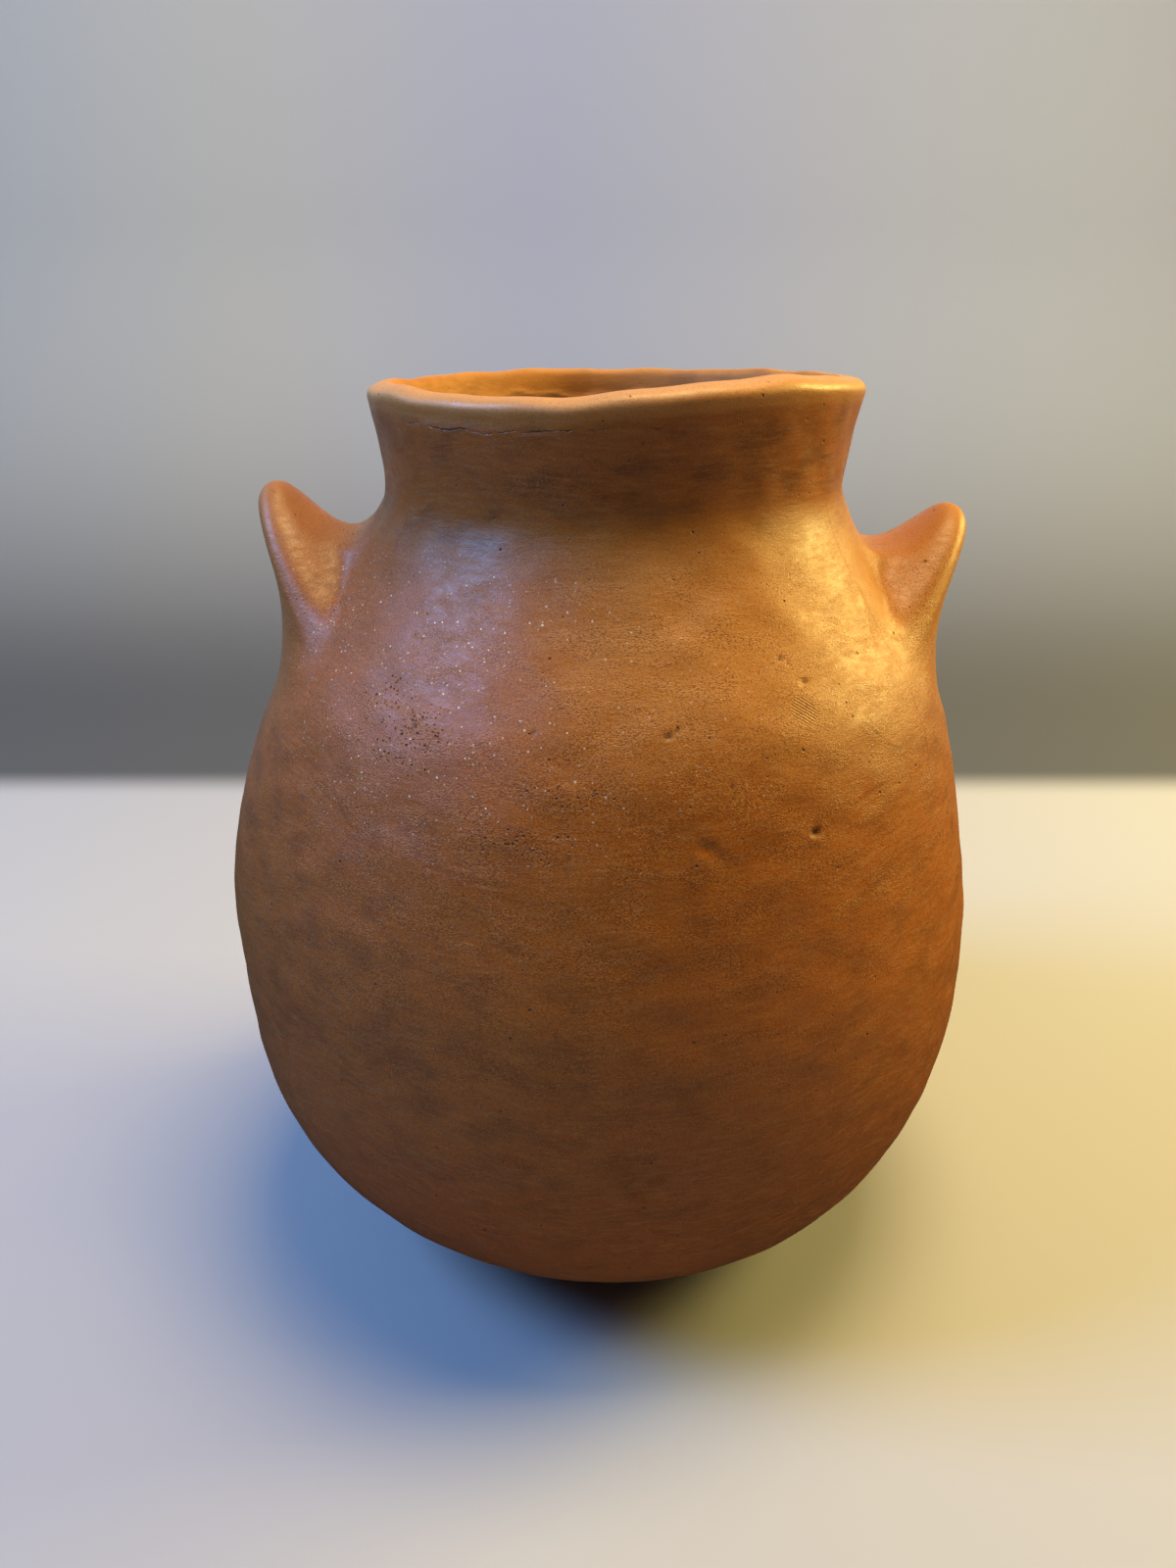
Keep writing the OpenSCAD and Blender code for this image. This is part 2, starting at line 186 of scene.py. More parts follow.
class OllaStudio(PropertyGroup):
    """Camera, floor and lights."""

    lens: FloatProperty(name="Lens", description="Focal length on a 36 mm sensor", default=26.0)
    pitch: angle("Camera pitch", "How far the camera looks down", 22.63)
    camera_at: FloatVectorProperty(name="Camera place", description="Where the camera stands",
                                   default=(-0.00518, -0.21825, 0.1843), subtype="TRANSLATION")
    floor: colour("Floor", "Pale floor", (0.42, 0.43, 0.465))
    backdrop: colour("Backdrop", "Plain backdrop", (0.36, 0.41, 0.60))
    backdrop_left: colour("Backdrop left", "The backdrop on the left", (0.49, 0.50, 0.49))
    backdrop_foot: colour("Backdrop foot", "The backdrop's darker foot", (0.075, 0.08, 0.09))
    ceiling: power("Ceiling power", "Soft light from straight above", 11.5)
    ceiling_colour: colour("Ceiling colour", "Colour of the ceiling's light", (1.0, 0.72, 0.34))
    lamp: power("Lamp power", "Warm lamp on the right", 8.0)
    lamp_colour: colour("Lamp colour", "Colour of the lamp", (1.0, 0.78, 0.22))
    window: power("Window power", "Cool window on the left", 10.8)
    window_colour: colour("Window colour", "Colour of the window's light", (0.26, 0.51, 1.0))
    back_window: power("Back window power", "Second, weaker window behind on the left", 0.6)
    fill: share("Fill", "Strength of the room's soft light", 0.03)
    fill_colour: colour("Fill colour", "Colour of the room's soft light", (0.80, 0.76, 0.74))


# Shape


def ease(x):
    """An even rise from 0 to 1: t squared times 3 minus 2t, with t held between 0 and 1."""
    t = np.clip(x, 0.0, 1.0)
    return t * t * (3 - 2 * t)


def hump(x):
    """1 at x = 0, dying away past x = 1: e to the power of minus x squared."""
    return np.exp(-x * x)


def rise_and_fall(x, start, full, fading, end):
    """A rise from 0 at start to 1 at full, and from fading a fall to 0 at end."""
    return ease((x - start) / (full - start)) * ease((end - x) / (end - fading))


def apart(a, b):
    """The smaller angle between two directions round the pot."""
    return np.abs((a - b + pi) % (2 * pi) - pi)


def cubic(points, u):
    """Point at u on a cubic curve: its four points weighted (1-u)^3, 3u(1-u)^2, 3u^2(1-u) and u^3."""
    u = np.asarray(u, float)[..., None]
    v = 1 - u
    return (v ** 3 * points[..., 0, :] + 3 * u * v * v * points[..., 1, :]
            + 3 * u * u * v * points[..., 2, :] + u ** 3 * points[..., 3, :])


def cubic_heading(points, u):
    """Unit direction at u on a cubic curve: its legs weighted (1-u)^2, 2u(1-u) and u^2."""
    u = np.asarray(u, float)[..., None]
    v = 1 - u
    legs = np.diff(points, axis=-2)
    d = v * v * legs[..., 0, :] + 2 * u * v * legs[..., 1, :] + u * u * legs[..., 2, :]
    return d / np.linalg.norm(d, axis=-1, keepdims=True)


class Wall:
    """The pot's wall: four cubic curves joined end to end, from the underside's middle to the lip.

    A place on it is a number from 0 to 4 whose whole part picks the curve and whose rest says how
    far along it. Lengths along the wall are looked up in a fine table.
    """

    def __init__(self, body, work):
        up = np.array([0.0, 1.0])
        lean = body.shoulder_lean
        self.body = body
        self.work = work
        self.shoulder_z = body.belly_z + body.shoulder_rise
        self.height = self.shoulder_z + body.neck_rise + body.lip_rise
        belly = np.array([body.belly_d / 2, body.belly_z])
        shoulder = np.array([body.shoulder_d / 2, self.shoulder_z])
        neck = np.array([body.neck_d / 2, self.shoulder_z + body.neck_rise])
        lip = np.array([body.lip_d / 2, self.height - body.lip_round])
        shoulder_way = np.array([-sin(lean), cos(lean)])
        lip_way = np.array([sin(body.lip_flare), cos(body.lip_flare)])
        middle = np.array([0.0, -body.foot_press])
        self.curves = np.array([
            [middle, middle + [body.base_reach, 0.0], belly - body.belly_reach_low * up, belly],
            [belly, belly + body.belly_reach_high * up,
             shoulder - body.shoulder_reach_low * shoulder_way, shoulder],
            [shoulder, shoulder + body.shoulder_reach_high * shoulder_way, neck - body.neck_reach * up, neck],
            [neck, neck + body.neck_reach * up, lip - body.neck_reach * lip_way, lip],
        ])
        self.table = np.linspace(0, 4, 8001)
        points = self.profile(self.table)
        steps = np.linalg.norm(np.diff(points, axis=0), axis=1)
        self.along_table = np.concatenate([[0], np.cumsum(steps)])
        self.height_table = points[:, 1]
        self.rim_seam_z = self.height - body.rim_coil_h

    def curve_at(self, place):
        """The curve that a place is on, and the rest of the place along it."""
        number = np.minimum(np.floor(place), 3).astype(int)
        return self.curves[number], place - number

    def profile(self, place):
        """Radius and height of the outer face."""
        return cubic(*self.curve_at(np.asarray(place, float)))

    def heading(self, place):
        """Direction up the outer face."""
        return cubic_heading(*self.curve_at(np.asarray(place, float)))

    def across(self, place):
        """Direction straight out of the outer face: its heading turned by a quarter."""
        d = self.heading(place)
        return np.stack([d[..., 1], -d[..., 0]], -1)

    def thickness(self, place):
        """Thickness of the wall: the floor's thins out, then the neck's and the lip's ease in."""
        body = self.body
        floor = body.floor_t + body.foot_press
        return (body.wall_t + (floor - body.wall_t) * (1 - ease(place / 0.625))
                + (body.neck_t - body.wall_t) * ease(place - 1.6)
                + (body.lip_t - body.neck_t) * ease(place - 3))

    def place_at(self, height):
        """The place at a height."""
        return np.interp(height, self.height_table, self.table)

    def along(self, place):
        """Length along the wall from the underside's middle to a place."""
        return np.interp(place, self.table, self.along_table)

    def places(self, start, end, gap):
        """Places from start to end, evenly spaced along the wall and about gap apart."""
        a = self.along(start)
        b = self.along(end)
        count = max(1, round(abs(b - a) / gap))
        found = np.interp(np.linspace(a, b, count + 1), self.along_table, self.table)
        found[0] = start
        found[-1] = end
        return found


# Handwork that the CAD part has too


DRIFTS = ((1.18, 1.0, 0.46), (0.43, 0.4, 0.24))
LIP_WAVES = ((1, 0.8, -24), (2, 0.5, -43), (3, 0.4, -52), (4, 0.35, 29))
WALL_WAVES = ((2, 0.5, 70, 52), (3, 0.35, 20, -156), (4, 0.25, 50, 190), (5, 0.2, 10, 294))


def drift(wall, height):
    """Sideways lean of the belly: two humps over the height, one high and one low."""
    belly_z = wall.body.belly_z
    total = sum(part * hump((height - at * belly_z) / (reach * belly_z)) for at, part, reach in DRIFTS)
    return -wall.work.belly_drift * total


def wave(wall, turn):
    """Rise and dip of the lip: a sum of cosines of 1 to 4 turns round the pot."""
    total = sum(part * np.cos(turns * (turn - radians(at))) for turns, part, at in LIP_WAVES)
    return wall.work.lip_wave * total


def stray(wall, height, turn):
    """Stray of the wall from true round: cosines of 2 to 5 turns that twist as they climb."""
    total = sum(part * np.cos(turns * (turn - radians(at)) + radians(twist) * height / wall.height)
                for turns, part, at, twist in WALL_WAVES)
    belly_z = wall.body.belly_z
    return wall.work.wobble * ease((height - 0.24 * belly_z) / belly_z) * total


def put(wall, face, turn):
    """Points at a radius and height on the pot, with the lean, the stray and the lip's wave."""
    height = face[..., 1]
    radius = face[..., 0] + stray(wall, height, turn)
    start = wall.shoulder_z + 0.24 * wall.body.lip_rise
    lift = wave(wall, turn) * ease((height - start) / (wall.height - start))
    return np.stack([radius * np.cos(turn) + drift(wall, height), radius * np.sin(turn), height + lift], -1)


# Marks of the hand: each is placed by its angle round the pot, in degrees, and its height


DENTS = (
    # angle, height, half width, half height, tilt in degrees, depth
    (282.4, 0.1104, 0.0018, 0.0011, -20, 0.00038),
    (283.6, 0.1088, 0.0026, 0.0012, -25, 0.00020),
    (279.9, 0.0678, 0.0014, 0.0005, 0, 0.00022),
    (310.5, 0.1125, 0.0040, 0.0012, 20, 0.00012),
    (306.0, 0.1080, 0.0050, 0.0015, -10, 0.00012),
    (316.0, 0.0900, 0.0022, 0.0012, 25, 0.00016),
    (266.0, 0.1240, 0.0080, 0.0030, 5, 0.00014),
    (233.0, 0.1100, 0.0120, 0.0060, 0, 0.00022),
    (252.0, 0.0980, 0.0140, 0.0050, 0, 0.00020),
    (292.0, 0.0860, 0.0150, 0.0060, 10, 0.00018),
    (60.0, 0.1100, 0.0070, 0.0050, 15, 0.00025),
    (95.0, 0.0720, 0.0090, 0.0040, -10, 0.00022),
    (140.0, 0.0980, 0.0060, 0.0045, 30, 0.00025),
    (20.0, 0.0850, 0.0080, 0.0050, 0, 0.00020),
    (170.0, 0.0600, 0.0090, 0.0040, 0, 0.00020),
)
PITS = (
    # angle, height, half width, half height, depth, how far its lower edge stands proud
    (301.3, 0.1308, 0.00080, 0.00024, 0.00045, 0.00002),
    (298.1, 0.1100, 0.00075, 0.00060, 0.00060, 0.00022),
    (297.9, 0.1343, 0.00055, 0.00030, 0.00035, 0.00006),
    (299.2, 0.1337, 0.00030, 0.00025, 0.00030, 0.0),
    (277.2, 0.1259, 0.00070, 0.00035, 0.00045, 0.00006),
    (278.6, 0.1266, 0.00035, 0.00025, 0.00030, 0.0),
    (239.0, 0.1247, 0.00040, 0.00030, 0.00035, 0.0),
    (242.1, 0.1221, 0.00035, 0.00030, 0.00035, 0.0),
    (257.9, 0.1261, 0.00035, 0.00028, 0.00035, 0.0),
    (285.9, 0.1187, 0.00030, 0.00025, 0.00030, 0.0),
    (278.4, 0.1155, 0.00030, 0.00025, 0.00030, 0.0),
    (264.8, 0.1096, 0.00030, 0.00025, 0.00030, 0.0),
    (112.0, 0.1180, 0.00060, 0.00040, 0.00045, 0.00005),
    (75.0, 0.0930, 0.00050, 0.00040, 0.00040, 0.0),
    (30.0, 0.1010, 0.00050, 0.00035, 0.00040, 0.00004),
    (150.0, 0.0780, 0.00055, 0.00040, 0.00045, 0.0),
)
SCRATCHES = (
    # from angle and height, to angle and height, sag, half width, depth, edge thrown up
    (309.7, 0.1242, 314.0, 0.1205, 0.0003, 0.00018, 0.00016, 0.00012),
    (314.0, 0.1205, 319.9, 0.1172, 0.0009, 0.00020, 0.00014, 0.00012),
    (303.5, 0.1113, 313.0, 0.1135, -0.0006, 0.00045, 0.00002, 0.00004),
    (264.0, 0.1462, 276.0, 0.1460, 0.0, 0.00022, 0.00006, 0.00003),
    (246.0, 0.1060, 259.0, 0.1048, 0.0004, 0.00030, 0.00006, 0.00003),
    (227.0, 0.1130, 232.0, 0.1085, 0.0, 0.00026, 0.00009, 0.00004),
    (80.0, 0.1260, 96.0, 0.1245, 0.0006, 0.00030, 0.00010, 0.00004),
    (128.0, 0.0900, 141.0, 0.0915, 0.0, 0.00030, 0.00008, 0.00004),
)
RIDGES = (
    # from angle and height, to angle and height, half width, how far it stands proud
    (326.5, 0.1400, 321.5, 0.1325, 0.00120, 0.00012),
    (204.0, 0.1380, 202.0, 0.1335, 0.00150, 0.00020),
)


# The fuller lower wall: heights where it starts, is full, fades and ends, then its middle and half width
FULL_HEIGHTS = (0.006, 0.040, 0.046, 0.074)
FULL_DEGREES = (200, 60)
# The facet pressed under the lip: its depth, how far down it reaches, then its middle and half width
FACET = (0.0008, 0.0028)
FACET_DEGREES = (240, 36)
# The crease under the rim coil is deepest here, at the front left: its middle and half width
CREASE_DEGREES = (249, 22)
# The crack inside the neck: its depth below the lip, its half height, then its middle and half width
CRACK = (0.0062, 0.00045)
CRACK_DEGREES = (97, 43)


def towards(turn, degrees):
    """1 at a middle direction round the pot, dying away past a half width. Both are in degrees."""
    middle, half_width = degrees
    return hump(apart(turn, radians(middle)) / radians(half_width))


def from_mark(wall, place, turn, at_degrees, at_height):
    """How far right of and above a mark each point lies, measured on the wall's face."""
    at_place = wall.place_at(at_height)
    radius = wall.profile(place)[..., 0]
    right = ((turn - radians(at_degrees) + pi) % (2 * pi) - pi) * radius
    return right, wall.along(place) - wall.along(at_place)


def soft_hollows(wall, place, turn):
    """The soft hollows left by fingers: a seeded sum of 46 waves, most of them lying level."""
    random = np.random.default_rng(21)
    along = wall.along(place)
    total = np.zeros(np.broadcast(place, turn).shape)
    for _ in range(46):
        turns = int(random.integers(3, 34))
        climbs = random.uniform(-1, 1) * 900
        size = 1 / (1 + 0.05 * turns + 0.0016 * abs(climbs))
        total += size * np.cos(turns * turn + climbs * along + random.uniform(0, 2 * pi))
    return total / 3.2


def on_line(wall, place, turn, start, end):
    """How far along a line each point lies, as a share of its length, how far off it, and its length.

    The line runs from one mark to another, each given by its angle in degrees and its height.
    """
    x, y = from_mark(wall, place, turn, *start)
    end_x, end_y = from_mark(wall, wall.place_at(end[1]), radians(end[0]), *start)
    span = np.hypot(end_x, end_y)
    c = end_x / span
    s = end_y / span
    return (x * c + y * s) / span, y * c - x * s, span


def relief(wall, place, turn):
    """Height of the outer face over the smooth wall, and the depth of its pits and scratches.

    Dents and pits are humps over an ellipse. A scratch is a hump across a sagging line with a
    ridge on either side, and a ridge is a hump across a straight line.
    """
    strength = wall.work.marks
    z = wall.profile(place)[..., 1]
    height = wall.work.uneven * (soft_hollows(wall, place, turn) - 0.6) * ease((z - 0.004) / 0.02)
    height += wall.work.full_side * rise_and_fall(z, *FULL_HEIGHTS) * towards(turn, FULL_DEGREES)
    cut = np.zeros_like(height)
    for at, at_z, wide, tall, tilt, depth in DENTS:
        x, y = from_mark(wall, place, turn, at, at_z)
        c = cos(radians(tilt))
        s = sin(radians(tilt))
        height -= strength * depth * hump(np.hypot((x * c + y * s) / wide, (y * c - x * s) / tall))
    for at, at_z, wide, tall, depth, proud in PITS:
        x, y = from_mark(wall, place, turn, at, at_z)
        hole = hump(np.hypot(x / wide, y / tall))
        height += strength * proud * hump(np.hypot(x / (1.5 * wide), (y + 1.7 * tall) / tall))
        height -= strength * depth * hole
        cut = np.maximum(cut, hole)
    for at, at_z, to, to_z, sag, wide, depth, proud in SCRATCHES:
        run, off, _ = on_line(wall, place, turn, (at, at_z), (to, to_z))
        off = off + sag * 4 * run * (1 - run)
        fade = ease(run / 0.15) * ease((1 - run) / 0.15)
        groove = hump(off / wide) * fade
        height += strength * (proud * hump((np.abs(off) - 1.9 * wide) / wide) * fade - depth * groove)
        cut = np.maximum(cut, 0.7 * groove * min(1.0, depth / 0.0002))
    for at, at_z, to, to_z, wide, proud in RIDGES:
        run, off, span = on_line(wall, place, turn, (at, at_z), (to, to_z))
        past = (run - np.clip(run, 0, 1)) * span
        height += strength * proud * hump(np.hypot(past, off) / wide)
    return height, cut


def crease(wall, place, turn):
    """Depth of the crease under the rim coil, which wavers and is deepest at the front left."""
    waver = 0.00035 * np.cos(7 * turn + 1.1) + 0.00025 * np.cos(17 * turn) + 0.0002 * np.cos(31 * turn + 2.0)
    front = towards(turn, CREASE_DEGREES)
    rough = 0.72 + 0.16 * np.cos(23 * turn + 0.4) + 0.12 * np.cos(41 * turn + 1.7)
    z = wall.profile(place)[..., 1]
    groove = hump((z - wall.rim_seam_z - waver * front) / (wall.work.crease_w * (1 - 0.35 * front)))
    return wall.work.crease_depth * (0.08 + 0.92 * front ** 2) * groove * rough


class Ears:
    """Where the ears are luted on, row by row, and the shape of their sections."""

    rows = 16
    outer_rows = 6
    tip_rows = 4
    inner_rows = 3
    neck_seam_row = 10

    def __init__(self, wall, sizes):
        body = wall.body
        self.wall = wall
        self.sizes = sizes
        low = body.base_bowl_h + body.lower_course_h + body.belly_course_h + sizes.gap
        self.heights = low + sizes.root_h * np.arange(self.rows + 1) / self.rows
        self.row_places = wall.place_at(self.heights)
        self.tip_row = self.outer_rows + self.tip_rows / 2
        self.saddle_row = self.outer_rows + self.tip_rows + self.inner_rows

    def place_of(self, row):
        """The wall's place behind a row, whole or not."""
        return self.wall.place_at(np.interp(row, np.arange(self.rows + 1), self.heights))

    def recess(self, place, turn):
        """Depth to which the wall is scored under both ears, easing in from the patch's border."""
        wall = self.wall
        radius = wall.profile(place)[..., 0]
        away = np.minimum(apart(turn, 0.0), apart(turn, pi))
        sideways = (self.sizes.spread - away) * radius
        along = wall.along(place)
        low = along - wall.along(self.row_places[0])
        high = wall.along(self.row_places[-1]) - along
        inside = np.minimum(sideways, np.minimum(low, high))
        return wall.work.ear_recess * ease((inside - 0.0008) / 0.002)

    def share(self, row, aside):
        """Share of the section that stands at an angle from the ear's middle, over its spread.

        It is 1 minus the squared angle, cubed. Behind the crest the spread narrows, which cups the ear.
        """
        narrow = 1 - self.sizes.cup * ease((row - self.tip_row + 1.2) / 4.5)
        return np.clip(1 - (aside / narrow) ** 2, 0, 1) ** 3

    def section(self, row, drop):
        """Radius and height of an ear's middle section, row by row: outer face, tip, inner face, neck.

        The outer face, the inner face and the fillet to the neck are cubic curves, and the tip is
        part of a circle between them.
        """
        wall = self.wall
        sizes = self.sizes
        rise = sizes.rise
        undercut = sizes.undercut
        radius = sizes.thickness / 2
        out = np.array([1.0, 0.0])
        root = wall.profile(self.row_places[0])
        top = wall.profile(self.row_places[-1])
        tip = wall.profile(self.place_of(self.tip_row)) + [sizes.out, sizes.up - drop]
        saddle = wall.profile(self.place_of(self.saddle_row))
        saddle = saddle + [sizes.saddle_out, sizes.saddle_up - 0.75 * drop]
        low_side = tip + radius * np.array([cos(undercut), -sin(undercut)])
        down = np.array([sin(undercut), cos(undercut)])
        high_side = tip + radius * np.array([-sin(rise), cos(rise)])
        inwards = -np.array([cos(rise), sin(rise)])
        near_top = wall.profile(self.row_places[-2])
        root_way = wall.heading(self.row_places[0])
        outer = np.array([root, root + 0.008 * root_way, low_side - 0.021 * down, low_side])
        inner = np.array([high_side, high_side + 0.004 * inwards, saddle + 0.005 * out, saddle])
        neck = np.array([saddle, saddle - 0.0025 * out, near_top, top])
        first = self.outer_rows
        second = first + self.tip_rows
        third = self.saddle_row
        arc = -undercut + np.clip((row - first) / self.tip_rows, 0, 1) * (pi / 2 + rise + undercut)
        parts = [
            cubic(outer, np.clip(row / first, 0, 1)),
            tip + radius * np.stack([np.cos(arc), np.sin(arc)], -1),
            cubic(inner, np.clip((row - second) / self.inner_rows, 0, 1)),
            cubic(neck, np.clip((row - third) / (self.rows - third), 0, 1)),
        ]
        picks = [row <= first, row <= second, row <= third]
        return np.select([pick[..., None] for pick in picks], parts[:3], parts[3])

    def stand(self, row, drop):
        """How far the section stands off the wall, smoothed over half a row so that no knot shows."""
        fine = np.linspace(0, self.rows, 40 * self.rows + 1)
        off = self.section(fine, drop) - self.wall.profile(self.place_of(fine))
        kernel = hump(np.arange(-24, 25) / 11)
        kernel /= kernel.sum()
        padded = np.pad(off, ((24, 24), (0, 0)))
        smooth = np.stack([np.convolve(padded[:, i], kernel, "valid") for i in (0, 1)], -1)
        smooth *= (ease(fine / 0.7) * ease((self.rows - fine) / 0.7))[:, None]
        return np.stack([np.interp(row, fine, smooth[:, i]) for i in (0, 1)], -1)


def outer_face(wall, ears, place, turn, scored=True):
    """Radius and height of the outer face with its marks, and the depth of the cuts in it.

    Under an ear the face is scored. The underside is pressed flat: below the foot's height h goes
    to half of h plus the root of h squared and a small square, which rounds the foot's edge.
    """
    rise, cut = relief(wall, place, turn)
    rise = rise - crease(wall, place, turn)
    if scored:
        rise = rise - ears.recess(place, turn)
    depth, reach = FACET
    under_lip = wall.along(4.0) - wall.along(place)
    rise = rise - depth * ease(1 - under_lip / reach) * towards(turn, FACET_DEGREES)
    face = wall.profile(place) + rise[..., None] * wall.across(place)
    z = face[..., 1]
    face[..., 1] = np.where(z < 0.004, (z + np.sqrt(z * z + 0.0003 ** 2)) / 2, z)
    return face, cut


def inner_face(wall, place, turn):
    """Radius and height of the inner face: the wall's thickness inwards, with level finger ridges."""
    along = wall.along(place)
    ridges = 0.00016 * np.cos(900 * along + 2.2 * np.cos(turn) + np.cos(3 * turn + 1))
    ridges = ridges + 0.00012 * np.cos(510 * along + 1.5 * np.cos(2 * turn + 2))
    ridges = ridges + 0.5 * wall.work.uneven * soft_hollows(wall, place, turn + 1.0)
    low, half_height = CRACK
    crack_line = wall.height - low + 0.0005 * np.cos(9 * turn) + 0.0003 * np.cos(26 * turn + 1)
    crack = hump((wall.profile(place)[..., 1] - crack_line) / half_height) * towards(turn, CRACK_DEGREES)
    in_wall = wall.thickness(place) + ridges * ease(place) * ease((4 - place) * 3) + 0.0004 * crack
    return wall.profile(place) - in_wall[..., None] * wall.across(place), crack


# Meshes


NO_TRIANGLES = np.zeros((0, 3), int)


def front_heavy_turns(count):
    """Angles of the columns, packed closer at the front than at the back, from 0 round to a full turn.

    The packing follows 1 plus a third of the cosine of the angle from the front.
    """
    fine = np.linspace(0, 2 * pi, 4001)
    packed = fine + 0.33 * (np.sin(fine - 1.5 * pi) - np.sin(-1.5 * pi))
    return np.interp(np.linspace(0, 2 * pi, count + 1)[:-1], packed, fine)


def make_piece(name, points, quads, triangles, values, sharp):
    """A smooth mesh object from arrays. values holds point attributes; sharp marks its hard edges' points."""
    mesh = bpy.data.meshes.new(name)
    corners = np.concatenate([quads.ravel(), triangles.ravel()]).astype(np.int32)
    sizes = np.concatenate([np.full(len(quads), 4), np.full(len(triangles), 3)])
    starts = np.concatenate([[0], np.cumsum(sizes)[:-1]]).astype(np.int32)
    mesh.vertices.add(len(points))
    mesh.vertices.foreach_set("co", points.astype(np.float32).ravel())
    mesh.loops.add(len(corners))
    mesh.loops.foreach_set("vertex_index", corners)
    mesh.polygons.add(len(sizes))
    mesh.polygons.foreach_set("loop_start", starts)
    mesh.polygons.foreach_set("use_smooth", np.ones(len(sizes), bool))
    mesh.update(calc_edges=True)
    for label, value in values.items():
        attribute = mesh.attributes.new(label, "FLOAT", "POINT")
        attribute.data.foreach_set("value", value.astype(np.float32).ravel())
    ends = np.zeros(len(mesh.edges) * 2, np.int32)
    mesh.edges.foreach_get("vertices", ends)
    first, second = sharp[ends.reshape(-1, 2)].T
    hard = mesh.attributes.new("sharp_edge", "BOOLEAN", "EDGE")
    hard.data.foreach_set("value", (first > 0) & (first == second))
    piece = bpy.data.objects.new(name, mesh)
    bpy.context.scene.collection.objects.link(piece)
    return piece


def finish_piece(piece, node, slot):
    """Gives a piece its material, hangs it under the root body and hides its CAD node."""
    piece.data.materials.append(clay_for(slot))
    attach(piece, "root")
    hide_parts(node)


def grid_quads(numbers):
    """Corner numbers of the faces of a grid of numbered points."""
    corners = (numbers[:-1, :-1], numbers[:-1, 1:], numbers[1:, 1:], numbers[1:, :-1])
    return np.stack(corners, -1).reshape(-1, 4)


class Course:
    """Rings of points up the outside, over the top, down the inside and back, for one piece of clay."""

    seam_steps = 3

    def __init__(self, wall, ears):
        self.wall = wall
        self.ears = ears
        self.turns = front_heavy_turns(wall.work.columns)[None, :]
        self.bands = []

    def add(self, points, cut, inside, below):
        """Adds a band of rings: how deep they are cut, how far inside the pot and below the lip they are."""
        values = [np.broadcast_to(value, points.shape[:2]) for value in (cut, inside, below)]
        self.bands.append((points, np.stack(values), np.zeros(len(points))))

    def below_lip(self, places):
        """Length along the wall from places up to the lip."""
        return (self.wall.along(4.0) - self.wall.along(places))[:, None]

    def outside(self, places):
        """Adds the outer face, upwards."""
        face, cut = outer_face(self.wall, self.ears, places[:, None], self.turns)
        self.add(put(self.wall, face, self.turns), cut, 0.0, self.below_lip(places))

    def inside(self, places):
        """Adds the inner face, downwards."""
        face, cut = inner_face(self.wall, places[:, None], self.turns)
        self.add(put(self.wall, face, self.turns), cut, 1.0, -self.below_lip(places) - 0.002)

    def seam(self):
        """Leaves room for straight rings over to the next band, or back to the first."""
        self.bands.append(None)

    def lip(self, steps):
        """Adds the lip's rounded edge: half a turn from the outer face over to the inner one."""
        wall = self.wall
        turn = self.turns
        top = np.full((1, 1), 4.0)
        outer = outer_face(wall, self.ears, top, turn)[0]
        inner = inner_face(wall, top, turn)[0]
        over = np.linspace(0, pi, steps + 1)[1:-1, None]
        nick = 0.83 - 0.05 * np.cos(11 * turn + 0.6) - 0.04 * np.cos(19 * turn + 2.0)
        height = (wall.body.lip_round * nick * np.sin(over) ** 0.8)[..., None]
        side = (np.sign(np.cos(over)) * np.abs(np.cos(over)) ** 0.8)[..., None]
        face = (outer + inner) / 2 + (outer - inner) / 2 * side + height * wall.heading(4.0)
        self.add(put(wall, face, turn), 0.0, ease((over / pi - 0.45) / 0.4), -0.002 * over / pi)

    def fill_seams(self):
        """Puts straight rings into the seams and gives the rings beside them numbers, as hard edges."""
        steps = np.linspace(0, 1, self.seam_steps + 1)[1:-1, None, None]
        for index, band in enumerate(self.bands):
            if band is None:
                before = self.bands[index - 1]
                after = self.bands[(index + 1) % len(self.bands)]
                before[2][-1] = 2 * index + 1
                after[2][0] = 2 * index + 2
                points = before[0][-1] + (after[0][0] - before[0][-1]) * steps
                self.bands[index] = (points, np.zeros((3, *points.shape[:2])), np.zeros(len(points)))

    def build(self, name, closed):
        """Joins the bands into one closed mesh: round to the first ring, or with a fan at either end."""
        self.fill_seams()
        points = np.concatenate([band[0] for band in self.bands])
        marks = np.concatenate([band[1] for band in self.bands], axis=1).reshape(3, -1)
        hard = np.concatenate([band[2] for band in self.bands])
        rows, columns = points.shape[:2]
        values = dict(zip(("cut", "inside", "below"), marks))
        below = values["below"]
        # Painted light and wear: the band at the lip's top is made lighter, as light from above falls on it.
        values["rubbed"] = ease(1.1 - below / 0.0017) * (1 - 0.6 * ease(-below / 0.008))
        sharp = np.repeat(hard, columns)
        points = points.reshape(-1, 3)
        numbers = np.arange(rows * columns).reshape(rows, columns)
        numbers = np.pad(numbers, ((0, int(closed)), (0, 1)), mode="wrap")
        triangles = NO_TRIANGLES
        if not closed:
            j = np.arange(columns)
            k = (j + 1) % columns
            last = (rows - 1) * columns
            under = np.full(columns, len(points))
            fans = [np.stack([under, k, j], -1), np.stack([under + 1, last + j, last + k], -1)]
            triangles = np.concatenate(fans)
            points = np.concatenate([points, [points[:columns].mean(0), points[last:].mean(0)]])
            ends = {"cut": (0, 0), "inside": (0, 1), "below": (1, -1), "rubbed": (0, 0)}
            values = {label: np.concatenate([value, ends[label]]) for label, value in values.items()}
            sharp = np.concatenate([sharp, [0, 0]])
        return make_piece(name, points, grid_quads(numbers), triangles, values, sharp)


